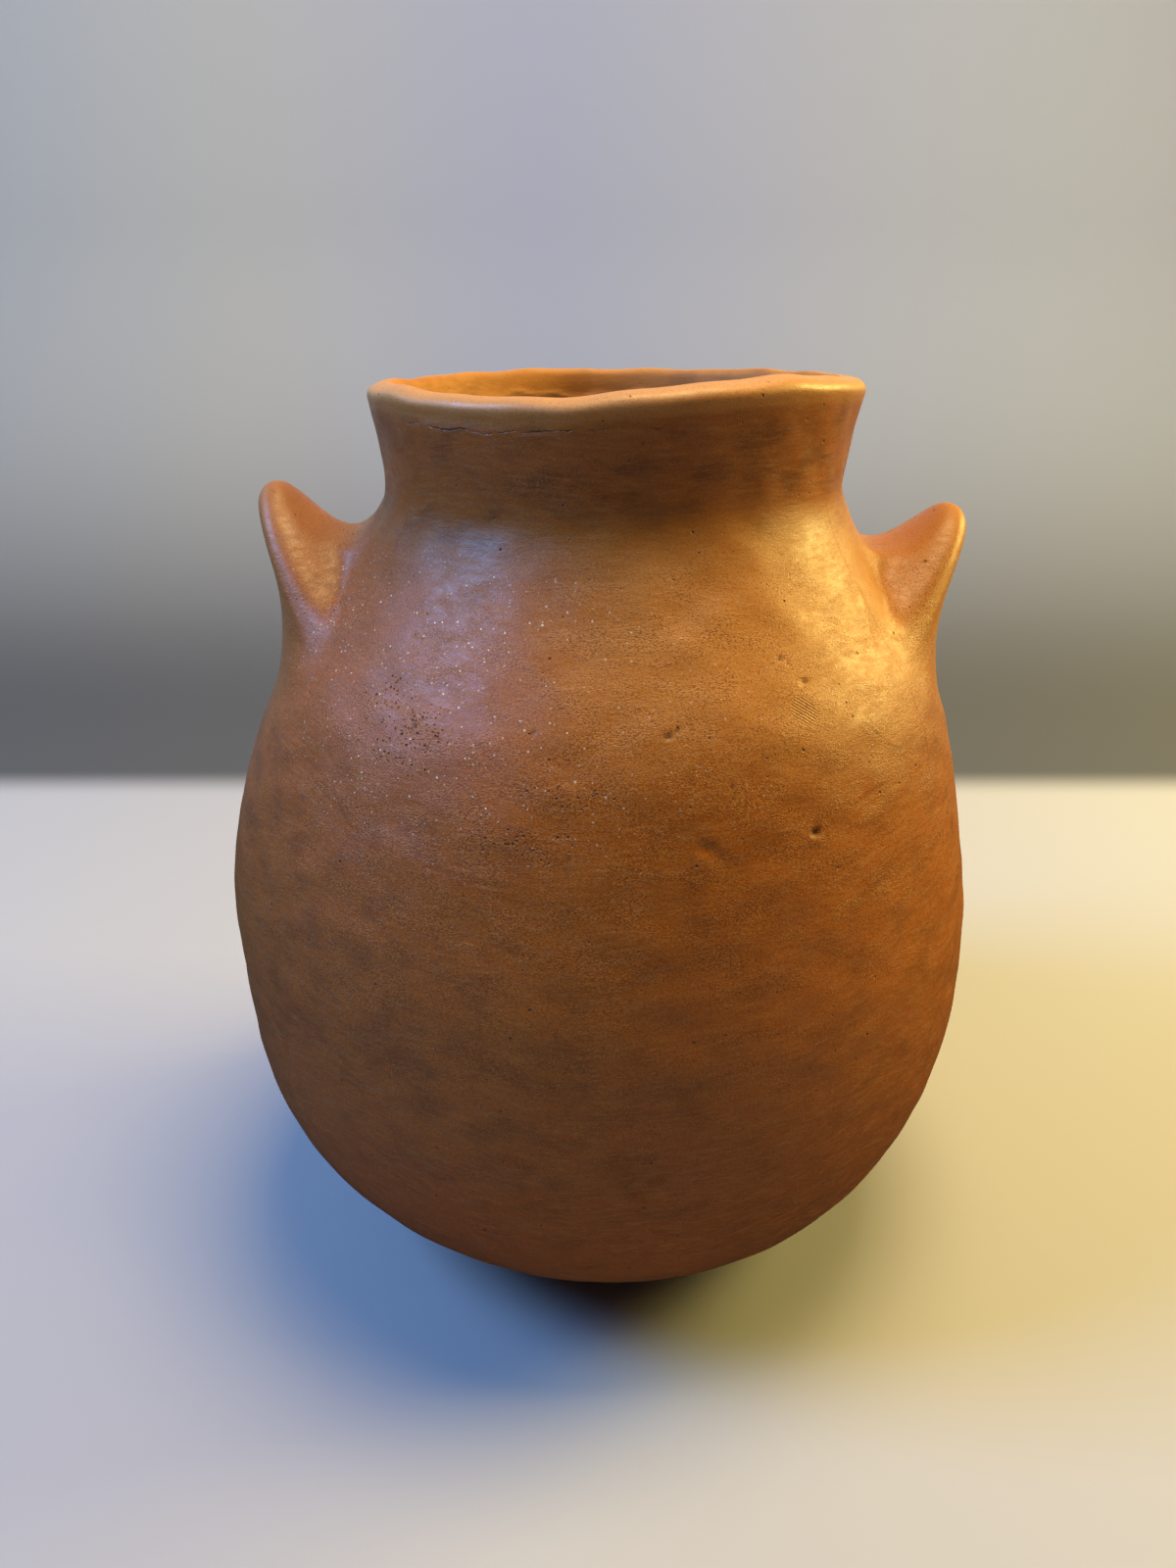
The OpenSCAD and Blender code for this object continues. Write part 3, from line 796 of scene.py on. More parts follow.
def wall_and_ears():
    """The wall and the ears at the sizes that the scene holds."""
    scene = bpy.context.scene
    wall = Wall(scene.olla_body, scene.olla_handwork)
    return wall, Ears(wall, scene.olla_ears)


def seam_places(wall, ears):
    """The five seams as pairs of places: where each comes out outside and inside the pot."""
    body = wall.body
    heights = np.cumsum([body.base_bowl_h, body.lower_course_h, body.belly_course_h])
    outside = dict(zip(("base", "lower", "belly"), wall.place_at(heights)))
    outside["neck"] = ears.row_places[ears.neck_seam_row]
    outside["rim"] = wall.place_at(wall.rim_seam_z)
    seams = {}
    for name, place in outside.items():
        slant = body.rim_seam_slant if name == "rim" else body.seam_slant
        seams[name] = (float(place), float(wall.place_at(wall.profile(place)[1] - slant)))
    return seams


def ear_piece(name, wall, ears, middle, drop):
    """An ear: the wall's face plus its share of the section's stand-off, closed by its root on the wall.

    The thumb hollows take away most where two thirds of the section is left.
    """
    rows = np.linspace(0, ears.rows, 161)[:, None]
    aside = np.linspace(-1, 1, 181)[None, :]
    turn = middle + aside * ears.sizes.spread
    place = ears.place_of(rows)
    left = ears.share(rows, aside)
    stand = ears.stand(rows[:, 0], drop)[:, None, :]
    hollow = ears.sizes.hollow * 27 / 4 * left * left * (1 - left) * hump((rows - ears.saddle_row + 1.5) / 2)
    hollow = hollow * ease(rows / 2) * ease((ears.rows - rows) / 2)
    wall_face, cut = outer_face(wall, ears, place, turn, scored=False)
    skin_face = wall_face + left[..., None] * stand + 0.00002 * wall.across(place)
    skin_face[..., 1] -= hollow
    skin = put(wall, skin_face, turn)
    root_face = wall_face - ears.recess(place, turn)[..., None] * wall.across(place)
    root = put(wall, root_face, turn)
    count_k, count_j = skin.shape[:2]
    numbers = np.arange(count_k * count_j).reshape(count_k, count_j)
    hidden = (count_k - 2) * (count_j - 2)
    root_numbers = numbers.copy()
    root_numbers[1:-1, 1:-1] = numbers.size + np.arange(hidden).reshape(count_k - 2, -1)
    points = np.concatenate([skin.reshape(-1, 3), root[1:-1, 1:-1].reshape(-1, 3)])
    quads = np.concatenate([grid_quads(numbers), grid_quads(root_numbers)[:, [0, 3, 2, 1]]])
    border = np.pad(np.zeros((count_k - 2, count_j - 2)), 1, constant_values=1)
    # Painted light and wear: the ear is made lighter where it stands out into the light.
    rubbed = left * ease(rows / 3) * ease((ears.rows - rows) / 3)
    zeros = np.zeros(hidden)
    values = {
        "cut": np.concatenate([cut.ravel(), zeros]),
        "inside": np.zeros(len(points)),
        "below": np.full(len(points), 0.03),
        "rubbed": np.concatenate([rubbed.ravel(), zeros]),
    }
    sharp = np.concatenate([border.ravel(), zeros])
    return make_piece(name, points, quads, NO_TRIANGLES, values, sharp)


# Materials


class Graph:
    """Adds nodes to a material's or group's tree and links them."""

    def __init__(self, tree):
        self.tree = tree
        self.count = 0

    def node(self, kind, inputs=(), **settings):
        """A node with its settings, its inputs linked or set."""
        node = self.tree.nodes.new(kind)
        self.count += 1
        node.location = (180 * (self.count % 12), -220 * (self.count // 12))
        for key, value in settings.items():
            setattr(node, key, value)
        for key, value in dict(inputs).items():
            self.feed(node.inputs[key], value)
        return node

    def feed(self, socket, value):
        """Links a socket, or sets its value."""
        if isinstance(value, bpy.types.NodeSocket):
            self.tree.links.new(value, socket)
        elif socket.type == "RGBA":
            socket.default_value = (*value, 1.0)
        else:
            socket.default_value = value

    def math(self, operation, a, b=0.0, c=0.0, clamp=False):
        """A Math node's value."""
        node = self.node("ShaderNodeMath", {0: a, 1: b, 2: c}, operation=operation, use_clamp=clamp)
        return node.outputs[0]

    def times(self, a, b):
        """a times b."""
        return self.math("MULTIPLY", a, b)

    def times_plus(self, a, b, c, clamp=False):
        """a times b, plus c."""
        return self.math("MULTIPLY_ADD", a, b, c, clamp)

    def largest(self, *values):
        """The largest of some values."""
        return reduce(lambda a, b: self.math("MAXIMUM", a, b), values)

    def vector(self, operation, a, b):
        """A Vector Math node's vector."""
        return self.node("ShaderNodeVectorMath", {0: a, 1: b}, operation=operation).outputs[0]

    def measure(self, operation, a, b=(0.0, 0.0, 0.0)):
        """A Vector Math node's number, such as a length."""
        return self.node("ShaderNodeVectorMath", {0: a, 1: b}, operation=operation).outputs[1]

    def axes(self, vector):
        """The three numbers of a vector."""
        return self.node("ShaderNodeSeparateXYZ", {0: vector}).outputs[:3]

    def squeezed(self, position, times):
        """A position with its height multiplied, so that a texture looked up there lies level."""
        factors = self.node("ShaderNodeCombineXYZ", {0: 1.0, 1: 1.0, 2: times}).outputs[0]
        return self.vector("MULTIPLY", position, factors)

    def remap(self, value, low, high, to_low=0.0, to_high=1.0):
        """A smooth rise from to_low to to_high as value goes from low to high."""
        inputs = {0: value, 1: low, 2: high, 3: to_low, 4: to_high}
        return self.node("ShaderNodeMapRange", inputs, interpolation_type="SMOOTHSTEP").outputs[0]

    def band(self, value, start, full, fading, end):
        """A smooth rise from 0 at start to 1 at full, and from fading a fall to 0 at end."""
        return self.times(self.remap(value, start, full), self.remap(value, end, fading))

    def mix(self, factor, a, b):
        """A colour between a and b."""
        return self.node("ShaderNodeMix", {0: factor, 6: a, 7: b}, data_type="RGBA").outputs[2]

    def noise(self, position, scale, detail=3.0, roughness=0.5):
        """A noise texture, whose value averages a half."""
        inputs = {"Vector": position, "Scale": scale, "Detail": detail, "Roughness": roughness}
        return self.node("ShaderNodeTexNoise", inputs).outputs[0]

    def group(self, name, position, values):
        """The outputs of a shared group at a position, with its own values."""
        inputs = {"Position": position, **values}
        return self.node("ShaderNodeGroup", inputs, node_tree=bpy.data.node_groups[name]).outputs


def new_group(name, inputs, outputs=("Mask",)):
    """An empty node group. Its inputs are a position and others with their defaults."""
    tree = bpy.data.node_groups.new(name, "ShaderNodeTree")
    for label, default in {"Position": (0.0, 0.0, 0.0), **inputs}.items():
        kind = "NodeSocketFloat" if isinstance(default, float) else "NodeSocketVector"
        tree.interface.new_socket(label, in_out="INPUT", socket_type=kind).default_value = default
    for label in outputs:
        tree.interface.new_socket(label, in_out="OUTPUT", socket_type="NodeSocketFloat")
    graph = Graph(tree)
    given = graph.node("NodeGroupInput").outputs
    return graph, given["Position"], given, graph.node("NodeGroupOutput").inputs


def make_patches_group():
    """Soft patches: noise, stretched level by squeezing its height, then cut to a smooth mask."""
    graph, position, given, out = new_group("clay_patches", {
        "Scale": 50.0, "Level Stretch": 1.0, "Start": 0.45, "End": 0.65, "Detail": 3.0})
    squeezed = graph.squeezed(position, given["Level Stretch"])
    value = graph.noise(squeezed, given["Scale"], given["Detail"], 0.55)
    graph.feed(out["Mask"], graph.remap(value, given["Start"], given["End"]))


def make_spot_group():
    """A soft spot round a point: 1 at its centre, 0 past its size, ragged by a little noise."""
    graph, position, given, out = new_group("placed_spot", {
        "Centre": (0.0, 0.0, 0.0), "Size": (0.01, 0.01, 0.01), "Ragged": 0.3, "Scale": 300.0})
    offset = graph.vector("DIVIDE", graph.vector("SUBTRACT", position, given["Centre"]), given["Size"])
    jitter = graph.math("SUBTRACT", graph.noise(position, given["Scale"], 3.0, 0.6), 0.5)
    ragged = graph.times_plus(jitter, graph.times(given["Ragged"], 4.0), graph.measure("LENGTH", offset))
    graph.feed(out["Mask"], graph.remap(ragged, 1.0, 0.35))


def make_pores_group():
    """Small round pores: cells of a Voronoi texture, kept where a random number is under their amount."""
    graph, position, given, out = new_group("burnt_out_pores", {"Scale": 900.0, "Amount": 0.1, "Size": 0.3})
    cells = graph.node("ShaderNodeTexVoronoi", {"Vector": position, "Scale": given["Scale"]}).outputs
    chance = graph.node("ShaderNodeSeparateColor", {0: cells["Color"]}).outputs
    kept = graph.math("LESS_THAN", chance[0], given["Amount"])
    size = graph.times(given["Size"], graph.math("ADD", 0.55, chance[1]))
    shape = graph.remap(cells["Distance"], size, graph.times(size, 0.35))
    strength = graph.times_plus(chance[2], 0.75, 0.25)
    graph.feed(out["Mask"], graph.times(graph.times(kept, shape), strength))


def make_burnish_group():
    """Level rubbing streaks: fine noise squeezed in height, warped a little by coarse noise."""
    graph, position, given, out = new_group("burnish_streaks", {"Scale": 260.0, "Squeeze": 7.0}, ("Streaks",))
    bend = graph.node("ShaderNodeTexNoise", {"Vector": position, "Scale": 22.0, "Detail": 1.0}).outputs[1]
    bent = graph.vector("MULTIPLY", graph.vector("SUBTRACT", bend, (0.5, 0.5, 0.5)), (0.012, 0.012, 0.012))
    squeezed = graph.squeezed(graph.vector("ADD", position, bent), given["Squeeze"])
    graph.feed(out["Streaks"], graph.noise(squeezed, given["Scale"], 4.0, 0.6))


def make_crack_group():
    """A thin ragged crack under the lip at the front left.

    It is where the length below the lip, shifted by noise, is near 1.9 mm. Coarser noise breaks it
    up, and it fades out to the sides.
    """
    graph, position, given, out = new_group("ragged_crack", {"Along": 0.0})
    x, y = graph.axes(position)[:2]
    bend = graph.math("SUBTRACT", graph.noise(position, 110.0, 5.0, 0.65), 0.5)
    off = graph.math("SUBTRACT", graph.times_plus(bend, 0.003, given["Along"]), 0.0019)
    line = graph.remap(graph.math("ABSOLUTE", off), 0.00018, 0.00004)
    front = graph.times(graph.band(x, -0.036, -0.030, -0.002, 0.010), graph.math("LESS_THAN", y, 0.0))
    broken = graph.remap(graph.noise(position, 330.0), 0.38, 0.60)
    graph.feed(out["Mask"], graph.times(graph.times(line, broken), front))


def make_comb_group():
    """A spot of short parallel strokes: a sine across them, inside a soft ball."""
    graph, position, given, out = new_group("combed_strokes", {
        "Centre": (0.0, 0.0, 0.0), "Across": (0.0, 0.0, 1.0), "Gap": 0.0005, "Reach": 0.003})
    offset = graph.vector("SUBTRACT", position, given["Centre"])
    turns = graph.math("DIVIDE", graph.measure("DOT_PRODUCT", offset, given["Across"]), given["Gap"])
    wave = graph.times_plus(graph.math("SINE", graph.times(turns, 2 * pi)), 0.5, 0.5)
    half = graph.times(given["Reach"], 0.5)
    fade = graph.remap(graph.measure("LENGTH", offset), given["Reach"], half)
    graph.feed(out["Mask"], graph.times(wave, fade))


def make_grain_group():
    """Sand grains: fine noise, flattened a little. It gives their height, and masks of the dips and tops."""
    graph, position, given, out = new_group("sandy_grain", {"Scale": 1900.0, "Level Stretch": 1.5},
                                            ("Height", "Dips", "Tops"))
    value = graph.noise(graph.squeezed(position, given["Level Stretch"]), given["Scale"], 2.0, 0.6)
    graph.feed(out["Height"], value)
    graph.feed(out["Dips"], graph.remap(value, 0.48, 0.38))
    graph.feed(out["Tops"], graph.remap(value, 0.52, 0.63))


def make_groups():
    """Makes the shared groups once."""
    if "clay_patches" not in bpy.data.node_groups:
        for make in (make_patches_group, make_spot_group, make_pores_group, make_burnish_group,
                     make_crack_group, make_comb_group, make_grain_group):
            make()


# Bands in which the clay's look changes, in metres: start, full, fading and end of each
SANDY_Z = (0.045, 0.110, 0.138, 0.156)
EVEN_Z = (0.108, 0.122, 0.144, 0.154)
RIGHT_DARKER_Z = (0.108, 0.119, 0.125, 0.134)
# The next band is painted lamp light: the right shoulder is made lighter where the warm lamp shines on it.
PAINTED_LAMP_LIGHT_Z = (0.112, 0.134, 0.146, 0.160)
# Bright specks of mica are fewer past these lines, which crowd them as painted glints where the window's
# highlight falls: axis, where they thin out, where they are all there, share left
MICA_AND_GLINTS_FADE = (("z", 0.098, 0.124, 0.05), ("z", 0.152, 0.140, 0.08), ("x", 0.010, -0.015, 0.30),
               ("x", -0.062, -0.045, 0.20))
# Centre and size of each cluster of pores
PORE_PATCHES = (
    ((-0.033, -0.052, 0.1235), (0.010, 0.010, 0.0055)),
    ((-0.037, -0.047, 0.1280), (0.006, 0.006, 0.0035)),
    ((0.011, -0.064, 0.1270), (0.007, 0.007, 0.0025)),
    ((-0.008, -0.066, 0.1180), (0.010, 0.010, 0.0020)),
    ((-0.014, -0.070, 0.1110), (0.012, 0.012, 0.0030)),
    ((0.045, 0.045, 0.1200), (0.012, 0.012, 0.0060)),
)
# The shared group that gives each texture, and its values
TEXTURES = {
    "broad": ("clay_patches", {"Scale": 26.0, "Start": 0.40, "End": 0.66}),
    "mottle": ("clay_patches", {"Scale": 115.0, "Level Stretch": 1.7, "Start": 0.44, "End": 0.68,
                                "Detail": 5.0}),
    "fine": ("clay_patches", {"Scale": 420.0, "Level Stretch": 2.2, "Start": 0.35, "End": 0.75,
                              "Detail": 4.0}),
    "rough": ("clay_patches", {"Scale": 120.0, "Level Stretch": 2.2, "Start": 0.42, "End": 0.62}),
    "streaks": ("burnish_streaks", {"Scale": 230.0, "Squeeze": 7.0}),
    "hair": ("burnish_streaks", {"Scale": 900.0, "Squeeze": 5.0}),
    "pores": ("burnt_out_pores", {"Scale": 1000.0, "Amount": 0.028, "Size": 0.25}),
    "comb": ("combed_strokes", {"Centre": (0.0285, -0.0514, 0.1272), "Across": (0.336, 0.705, 0.625),
                                "Reach": 0.0031}),
    "smoke": ("placed_spot", {"Centre": (0.0335, -0.0560, 0.0400), "Size": (0.0034, 0.0034, 0.0022),
                              "Ragged": 0.25, "Scale": 220.0}),
}


def blank_material(name):
    """A material without nodes, its graph and the position on its object."""
    material = bpy.data.materials.new(name)
    material.use_nodes = True
    material.node_tree.nodes.clear()
    graph = Graph(material.node_tree)
    return material, graph, graph.node("ShaderNodeTexCoord").outputs["Object"]


def shade(graph, inputs):
    """Ends a material's graph in its shader."""
    shader = graph.node("ShaderNodeBsdfPrincipled", inputs)
    graph.node("ShaderNodeOutputMaterial", {"Surface": shader.outputs[0]})


def clay_masks(graph, position):
    """Values from 0 to 1 that say where each look of the clay shows, by name."""
    show = SimpleNamespace()
    for label in ("cut", "inside", "below", "rubbed"):
        setattr(show, label, graph.node("ShaderNodeAttribute", attribute_name=label).outputs["Fac"])
    for label, (group, values) in TEXTURES.items():
        setattr(show, label, graph.group(group, position, values)[0])
    x, y, z = graph.axes(position)

    show.left = graph.remap(x, 0.010, -0.055)
    # Painted shade: darker and redder towards the foot, more so on the left, where the pot gets little light.
    show.low = graph.remap(z, 0.080, 0.035)
    show.foot = graph.times(graph.remap(z, 0.075, 0.018), graph.times_plus(show.left, 0.30, 0.45))
    dark = graph.times(show.mottle, graph.times_plus(show.left, 0.45, 0.45))
    dark = graph.times(dark, graph.times_plus(graph.band(z, *EVEN_Z), -0.65, 1.0))
    dark = graph.times_plus(show.fine, graph.times_plus(show.left, 0.35, 0.28), dark)
    # Mottling and painted shade: the neck is made darker in blotches, for its mottling and for the shade
    # under the flaring lip.
    neck_mottle_and_shade = graph.remap(graph.times_plus(graph.math("SUBTRACT", show.broad, 0.5), 0.008, z), 0.141, 0.164)
    blotched = graph.times_plus(show.mottle, 0.30, graph.times_plus(show.broad, 0.38, 0.10))
    dark = graph.times_plus(blotched, neck_mottle_and_shade, dark, clamp=True)
    # The upper belly is darker on the right, between these heights.
    right_darker = graph.times(graph.band(z, *RIGHT_DARKER_Z), graph.remap(x, -0.010, 0.012))
    show.dark = graph.times_plus(right_darker, 0.38, dark, clamp=True)
    # Painted light: lighter clay on the right shoulder, where the warm lamp shines.
    show.dusty = graph.times(graph.band(z, *PAINTED_LAMP_LIGHT_Z), graph.remap(x, -0.030, 0.015))
    rubbed = graph.remap(show.streaks, 0.42, 0.72)
    show.burnished = graph.times_plus(rubbed, 0.22, graph.times(show.fine, 0.10))
    # Painted light: the lip's crest, lit from above, gets the pale lip colour.
    show.edge = graph.remap(graph.math("ABSOLUTE", graph.math("ADD", show.below, 0.0009)), 0.0010, 0.0003)

    sandy = graph.times(graph.band(z, *SANDY_Z), graph.remap(x, -0.070, -0.035, 0.45, 1.0))
    sandy = graph.times(sandy, graph.times_plus(show.rough, 0.65, 0.35))
    sandy = graph.times_plus(sandy, 0.75, 0.30, clamp=True)
    sand = graph.group("sandy_grain", position, {"Scale": 3000.0, "Level Stretch": 1.7})
    show.grain = graph.times(sand["Height"], sandy)
    show.dips = graph.times(sand["Dips"], sandy)
    show.tops = graph.times(sand["Tops"], sandy)

    spots = [graph.group("placed_spot", position, {"Centre": centre, "Size": size, "Ragged": 0.5})[0]
             for centre, size in PORE_PATCHES]
    show.crowded = graph.largest(*spots)
    show.cluster = graph.group("burnt_out_pores", position, {
        "Scale": 1450.0, "Amount": graph.times(show.crowded, 0.95), "Size": 0.31})[0]
    show.holes = graph.largest(show.pores, show.cluster)
    # Pale mica specks with painted glints: bright specks kept mostly where the window's highlight falls.
    elsewhere = graph.vector("ADD", position, (0.3, 0.7, 0.1))
    scattered = {"Scale": 1550.0, "Amount": 0.19, "Size": 0.27}
    show.flecks = graph.group("burnt_out_pores", elsewhere, scattered)[0]
    for axis, start, full, least in MICA_AND_GLINTS_FADE:
        share_left = graph.remap({"x": x, "z": z}[axis], start, full, least, 1.0)
        show.flecks = graph.times(show.flecks, share_left)
    show.cracks = graph.group("ragged_crack", position, {"Along": show.below})[0]
    return show


def clay_material(name, tone):
    """Fired clay. tone says how much lighter a piece is made where it is worn by rubbing and where light is
    painted on the lip and the ears.
    """
    clay = bpy.context.scene.olla_clay
    material, graph, position = blank_material(name)
    show = clay_masks(graph, position)
    shaded = graph.largest(graph.times(show.holes, 0.85), graph.times(show.cut, 0.75),
                           graph.times(show.cracks, 0.75), graph.times(show.comb, 0.30))
    colour_now = clay.clay
    for mask, strength, tint in (
        # painted shade, darker towards the foot
        (show.low, 0.55, clay.red),
        (show.foot, 1.0, clay.base),
        (show.dark, 1.0, clay.dark),
        (show.burnished, 1.0, clay.light),
        # painted lamp light on the right shoulder
        (show.dusty, 0.60, clay.light),
        # painted light and wear on the lip's top and the ears
        (show.rubbed, tone, clay.light),
        # painted reflection of cool light on the left
        (show.left, 0.34, clay.painted_cool_veil),
        # painted light on the lip's crest
        (show.edge, 0.80, clay.lip),
        (show.dips, 0.95, clay.dark),
        (show.tops, 0.60, clay.light),
        (show.inside, 1.0, graph.mix(graph.times(show.mottle, 0.35), clay.inside, clay.dark)),
        # mica specks and painted glints
        (show.flecks, 1.0, clay.mica),
        (shaded, 1.0, clay.pore),
        (show.smoke, 0.6, clay.smoke),
    ):
        colour_now = graph.mix(graph.times(mask, strength), colour_now, tint)

    roughness = graph.times_plus(graph.remap(show.streaks, 0.35, 0.7), 0.10, clay.roughness)
    roughness = graph.times_plus(graph.math("SUBTRACT", show.fine, 0.5), 0.12, roughness)
    roughness = graph.times_plus(show.inside, 0.22, roughness)
    roughness = graph.times_plus(show.holes, 0.3, roughness)
    roughness = graph.times_plus(show.flecks, -0.22, roughness, clamp=True)

    height = graph.times(show.grain, clay.grain / MM)
    outdoors = graph.times(graph.math("SUBTRACT", 1.0, show.inside), show.cluster)
    for mask, depth in (
        (show.streaks, 0.03), (show.hair, 0.02), (show.fine, 0.015), (show.holes, -clay.pore_depth / MM),
        (show.flecks, 0.03), (show.cracks, -0.25), (show.comb, -0.05), (outdoors, -0.1),
        (graph.times(show.crowded, show.hair), 0.05),
    ):
        height = graph.times_plus(mask, depth, height)
    bump = graph.node("ShaderNodeBump", {"Height": height, "Distance": MM, "Strength": 1.0}).outputs[0]
    shade(graph, {"Base Color": colour_now, "Roughness": roughness, "Normal": bump, "IOR": 1.46})
    return material


def clay_for(slot):
    """The material of a slot, made once: its name, and how much lighter it is made where worn and where light
    is painted on it.
    """
    name, tone = {
        "body_clay": ("burnished_body_clay", 0.80),
        "neck_clay": ("mottled_and_shaded_neck_clay", 0.80),
        "rim_clay": ("smoothed_rim_clay", 0.60),
        "ear_clay": ("pinched_ear_clay", 0.80),
    }[slot]
    make_groups()
    return bpy.data.materials.get(name) or clay_material(name, tone)


def stage_material(name):
    """Plain matt paper: pale under the pot, easing to the backdrop's grey behind it."""
    studio = bpy.context.scene.olla_studio
    material, graph, position = blank_material(name)
    x, y, z = graph.axes(position)
    upper = graph.mix(graph.remap(x, -0.30, 0.0), studio.backdrop_left, studio.backdrop)
    behind = graph.mix(graph.remap(graph.math("ADD", y, z), 0.30, 1.0), studio.backdrop_foot, upper)
    paper = graph.mix(graph.remap(y, 0.21, 0.24), studio.floor, behind)
    shade(graph, {"Base Color": paper, "Roughness": 0.9})
    return material


# Pieces and their operators


def wall_course(name, low, high):
    """A wall course between two seams, as a closed band."""
    wall, ears = wall_and_ears()
    seams = seam_places(wall, ears)
    course = Course(wall, ears)
    course.outside(wall.places(seams[low][0], seams[high][0], wall.work.row_gap))
    course.seam()
    course.inside(wall.places(seams[high][1], seams[low][1], 0.0014))
    course.seam()
    return course.build(name, True)


class OLLA_OT_base_bowl(Operator):
    """Make the base bowl: flat foot, round underside and the floor inside"""

    bl_idname = "olla.base_bowl"
    bl_label = "Base Bowl"

    def execute(self, context):
        wall, ears = wall_and_ears()
        seams = seam_places(wall, ears)
        foot = wall.place_at(0.0)
        flat = np.linspace(0.03, foot - 0.02, 12)
        course = Course(wall, ears)
        course.outside(np.concatenate([flat, wall.places(foot, seams["base"][0], 0.0008)]))
        course.seam()
        course.inside(wall.places(seams["base"][1], 0.03, 0.0015))
        finish_piece(course.build("base_bowl_clay", False), "base_bowl", "body_clay")
        return {"FINISHED"}


class OLLA_OT_wall_courses(Operator):
    """Make the lower wall course, the belly course and the shoulder course"""

    bl_idname = "olla.wall_courses"
    bl_label = "Wall Courses"

    def execute(self, context):
        finish_piece(wall_course("lower_wall_clay", "base", "lower"), "lower_wall_course", "body_clay")
        finish_piece(wall_course("belly_clay", "lower", "belly"), "belly_course", "body_clay")
        finish_piece(wall_course("shoulder_clay", "belly", "neck"), "shoulder_course", "body_clay")
        return {"FINISHED"}


class OLLA_OT_neck_collar(Operator):
    """Make the neck collar"""

    bl_idname = "olla.neck_collar"
    bl_label = "Neck Collar"

    def execute(self, context):
        finish_piece(wall_course("neck_clay", "neck", "rim"), "neck_collar", "neck_clay")
        return {"FINISHED"}


class OLLA_OT_rim_coil(Operator):
    """Make the rim coil with its wavy rounded lip"""

    bl_idname = "olla.rim_coil"
    bl_label = "Rim Coil"

    def execute(self, context):
        wall, ears = wall_and_ears()
        seams = seam_places(wall, ears)
        course = Course(wall, ears)
        course.outside(wall.places(seams["rim"][0], 4.0, 0.0003))
        course.lip(24)
        course.inside(wall.places(4.0, seams["rim"][1], 0.0006))
        course.seam()
        finish_piece(course.build("rim_clay", True), "rim_coil", "rim_clay")
        return {"FINISHED"}


class OLLA_OT_ears(Operator):
    """Make the two pinched ears"""

    bl_idname = "olla.ears"
    bl_label = "Ears"

    def execute(self, context):
        wall, ears = wall_and_ears()
        left = ear_piece("ear_left_clay", wall, ears, pi, 0.0)
        right = ear_piece("ear_right_clay", wall, ears, 0.0, ears.sizes.right_drop)
        finish_piece(left, "ear_left", "ear_clay")
        finish_piece(right, "ear_right", "ear_clay")
        return {"FINISHED"}


def sheet(name, ys, zs, mirrored):
    """A sheet of paper 2.8 m wide along a line of ys and zs. mirrored says whether gloss shows it."""
    xs = np.linspace(-1.4, 1.4, 15)
    points = np.stack(np.broadcast_arrays(xs[None, :], ys[:, None], zs[:, None]), -1)
    numbers = np.arange(len(ys) * len(xs)).reshape(len(ys), len(xs))
    paper = make_piece(name, points.reshape(-1, 3), grid_quads(numbers), NO_TRIANGLES, {},
                       np.zeros(numbers.size))
    paper.data.materials.append(stage_material(name + "_paper"))
    paper.visible_glossy = mirrored
    return paper


def sweep():
    """The floor, and the backdrop: level, then a quarter circle, then upright.

    The pot's gloss shows the backdrop but not the floor, as a dark cloth seat would not be mirrored.
    """
    reach = 0.72
    radius = 0.25
    arc = np.linspace(0, pi / 2, 25)
    ys = np.concatenate([[0.24], reach - radius + radius * np.sin(arc), [reach]])
    zs = np.concatenate([[0.0], radius - radius * np.cos(arc), [1.3]])
    return [sheet("floor", np.array([-1.1, 0.24]), np.zeros(2), False), sheet("backdrop", ys, zs, True)]


def area_light(name, place, shines, size, power, tint):
    """A rectangular soft light at a place, shining along a direction. The camera doesn't see it."""
    data = bpy.data.lights.new(name, "AREA")
    data.shape = "RECTANGLE"
    data.size, data.size_y = size
    data.energy = power
    data.color = tint
    light = bpy.data.objects.new(name, data)
    bpy.context.scene.collection.objects.link(light)
    light.location = place
    light.rotation_euler = Vector(shines).to_track_quat("-Z", "Y").to_euler()
    light.visible_camera = False
    return light


def towards_pot(azimuth, elevation, distance):
    """A light's place and direction, from its azimuth and elevation in degrees and its distance."""
    azimuth = radians(azimuth)
    elevation = radians(elevation)
    away = Vector((cos(elevation) * cos(azimuth), cos(elevation) * sin(azimuth), sin(elevation)))
    return away * distance + Vector((0.0, 0.0, 0.12)), -away


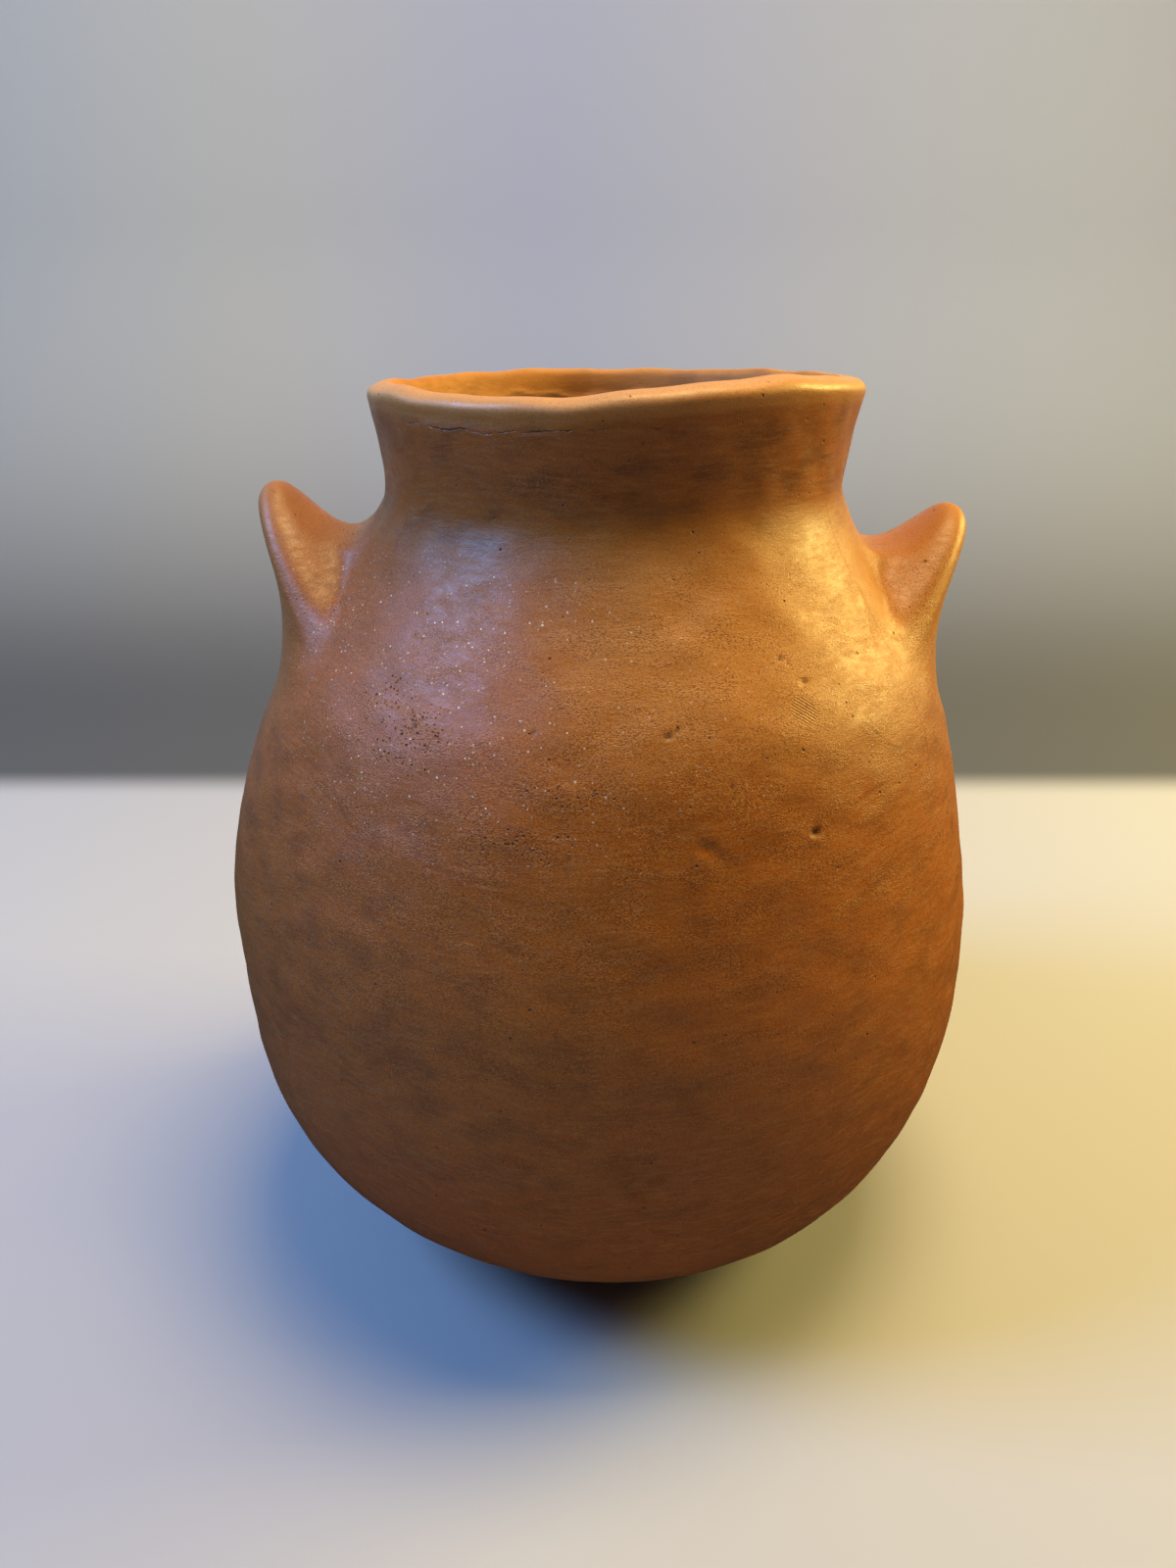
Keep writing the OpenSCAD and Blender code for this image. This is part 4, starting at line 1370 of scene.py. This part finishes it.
class OLLA_OT_stage(Operator):
    """Set up the camera, the pale floor, the lamp, the window and the room's soft light"""

    bl_idname = "olla.stage"
    bl_label = "Stage"

    def execute(self, context):
        scene = context.scene
        studio = scene.olla_studio
        camera_data = bpy.data.cameras.new("camera")
        camera_data.lens = studio.lens
        camera_data.sensor_width = 36.0
        camera_data.clip_start = 0.01
        camera = bpy.data.objects.new("camera", camera_data)
        scene.collection.objects.link(camera)
        camera.location = studio.camera_at
        camera.rotation_euler = (pi / 2 - studio.pitch, 0.0, 0.0)
        scene.camera = camera
        for paper in sweep():
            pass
        cool = studio.window_colour
        area_light("ceiling", (0.15, 0.0, 1.07), (0.0, 0.0, -1.0), (0.50, 0.40), studio.ceiling,
                   studio.ceiling_colour)
        area_light("lamp", *towards_pot(16.0, 23.0, 0.8), (0.42, 0.26), studio.lamp, studio.lamp_colour)
        area_light("window", *towards_pot(-169.0, 41.0, 1.0), (0.36, 0.42), studio.window, cool)
        area_light("back_window", *towards_pot(150.0, 35.0, 0.9), (0.40, 0.40), studio.back_window, cool)
        world = bpy.data.worlds.new("room")
        world.use_nodes = True
        back = world.node_tree.nodes["Background"]
        back.inputs["Color"].default_value = (*studio.fill_colour, 1.0)
        back.inputs["Strength"].default_value = studio.fill
        scene.world = world
        scene.view_settings.view_transform = "Standard"
        return {"FINISHED"}


class OLLA_PT_panel(Panel):
    """The olla's pieces and their sizes"""

    bl_idname = "OLLA_PT_panel"
    bl_label = "Terracotta Olla"
    bl_space_type = "VIEW_3D"
    bl_region_type = "UI"
    bl_category = "Olla"

    def draw(self, context):
        layout = self.layout
        for step in STEPS:
            layout.operator(step.bl_idname)
        for group_name in GROUPS:
            group = getattr(context.scene, group_name)
            box = layout.box()
            for key in group.bl_rna.properties.keys():
                if key not in {"rna_type", "name"}:
                    box.prop(group, key)


STEPS = (OLLA_OT_base_bowl, OLLA_OT_wall_courses, OLLA_OT_neck_collar, OLLA_OT_rim_coil, OLLA_OT_ears,
         OLLA_OT_stage)
GROUPS = {
    "olla_body": OllaBodySizes,
    "olla_ears": OllaEarSizes,
    "olla_handwork": OllaHandwork,
    "olla_clay": OllaClay,
    "olla_studio": OllaStudio,
}


def register():
    """Registers the classes and puts their settings on the scene."""
    for group in GROUPS.values():
        bpy.utils.register_class(group)
    for step in STEPS:
        bpy.utils.register_class(step)
    bpy.utils.register_class(OLLA_PT_panel)
    for name, group in GROUPS.items():
        setattr(bpy.types.Scene, name, PointerProperty(type=group))


def unregister():
    """Takes the settings and the classes away again."""
    for name in GROUPS:
        delattr(bpy.types.Scene, name)
    bpy.utils.unregister_class(OLLA_PT_panel)
    for step in STEPS:
        bpy.utils.unregister_class(step)
    for group in GROUPS.values():
        bpy.utils.unregister_class(group)


def main():
    """Makes the stage and every piece of the pot."""
    register()
    bpy.ops.olla.stage()
    bpy.ops.olla.base_bowl()
    bpy.ops.olla.wall_courses()
    bpy.ops.olla.neck_collar()
    bpy.ops.olla.rim_coil()
    bpy.ops.olla.ears()


if __name__ == "__main__":
    main()
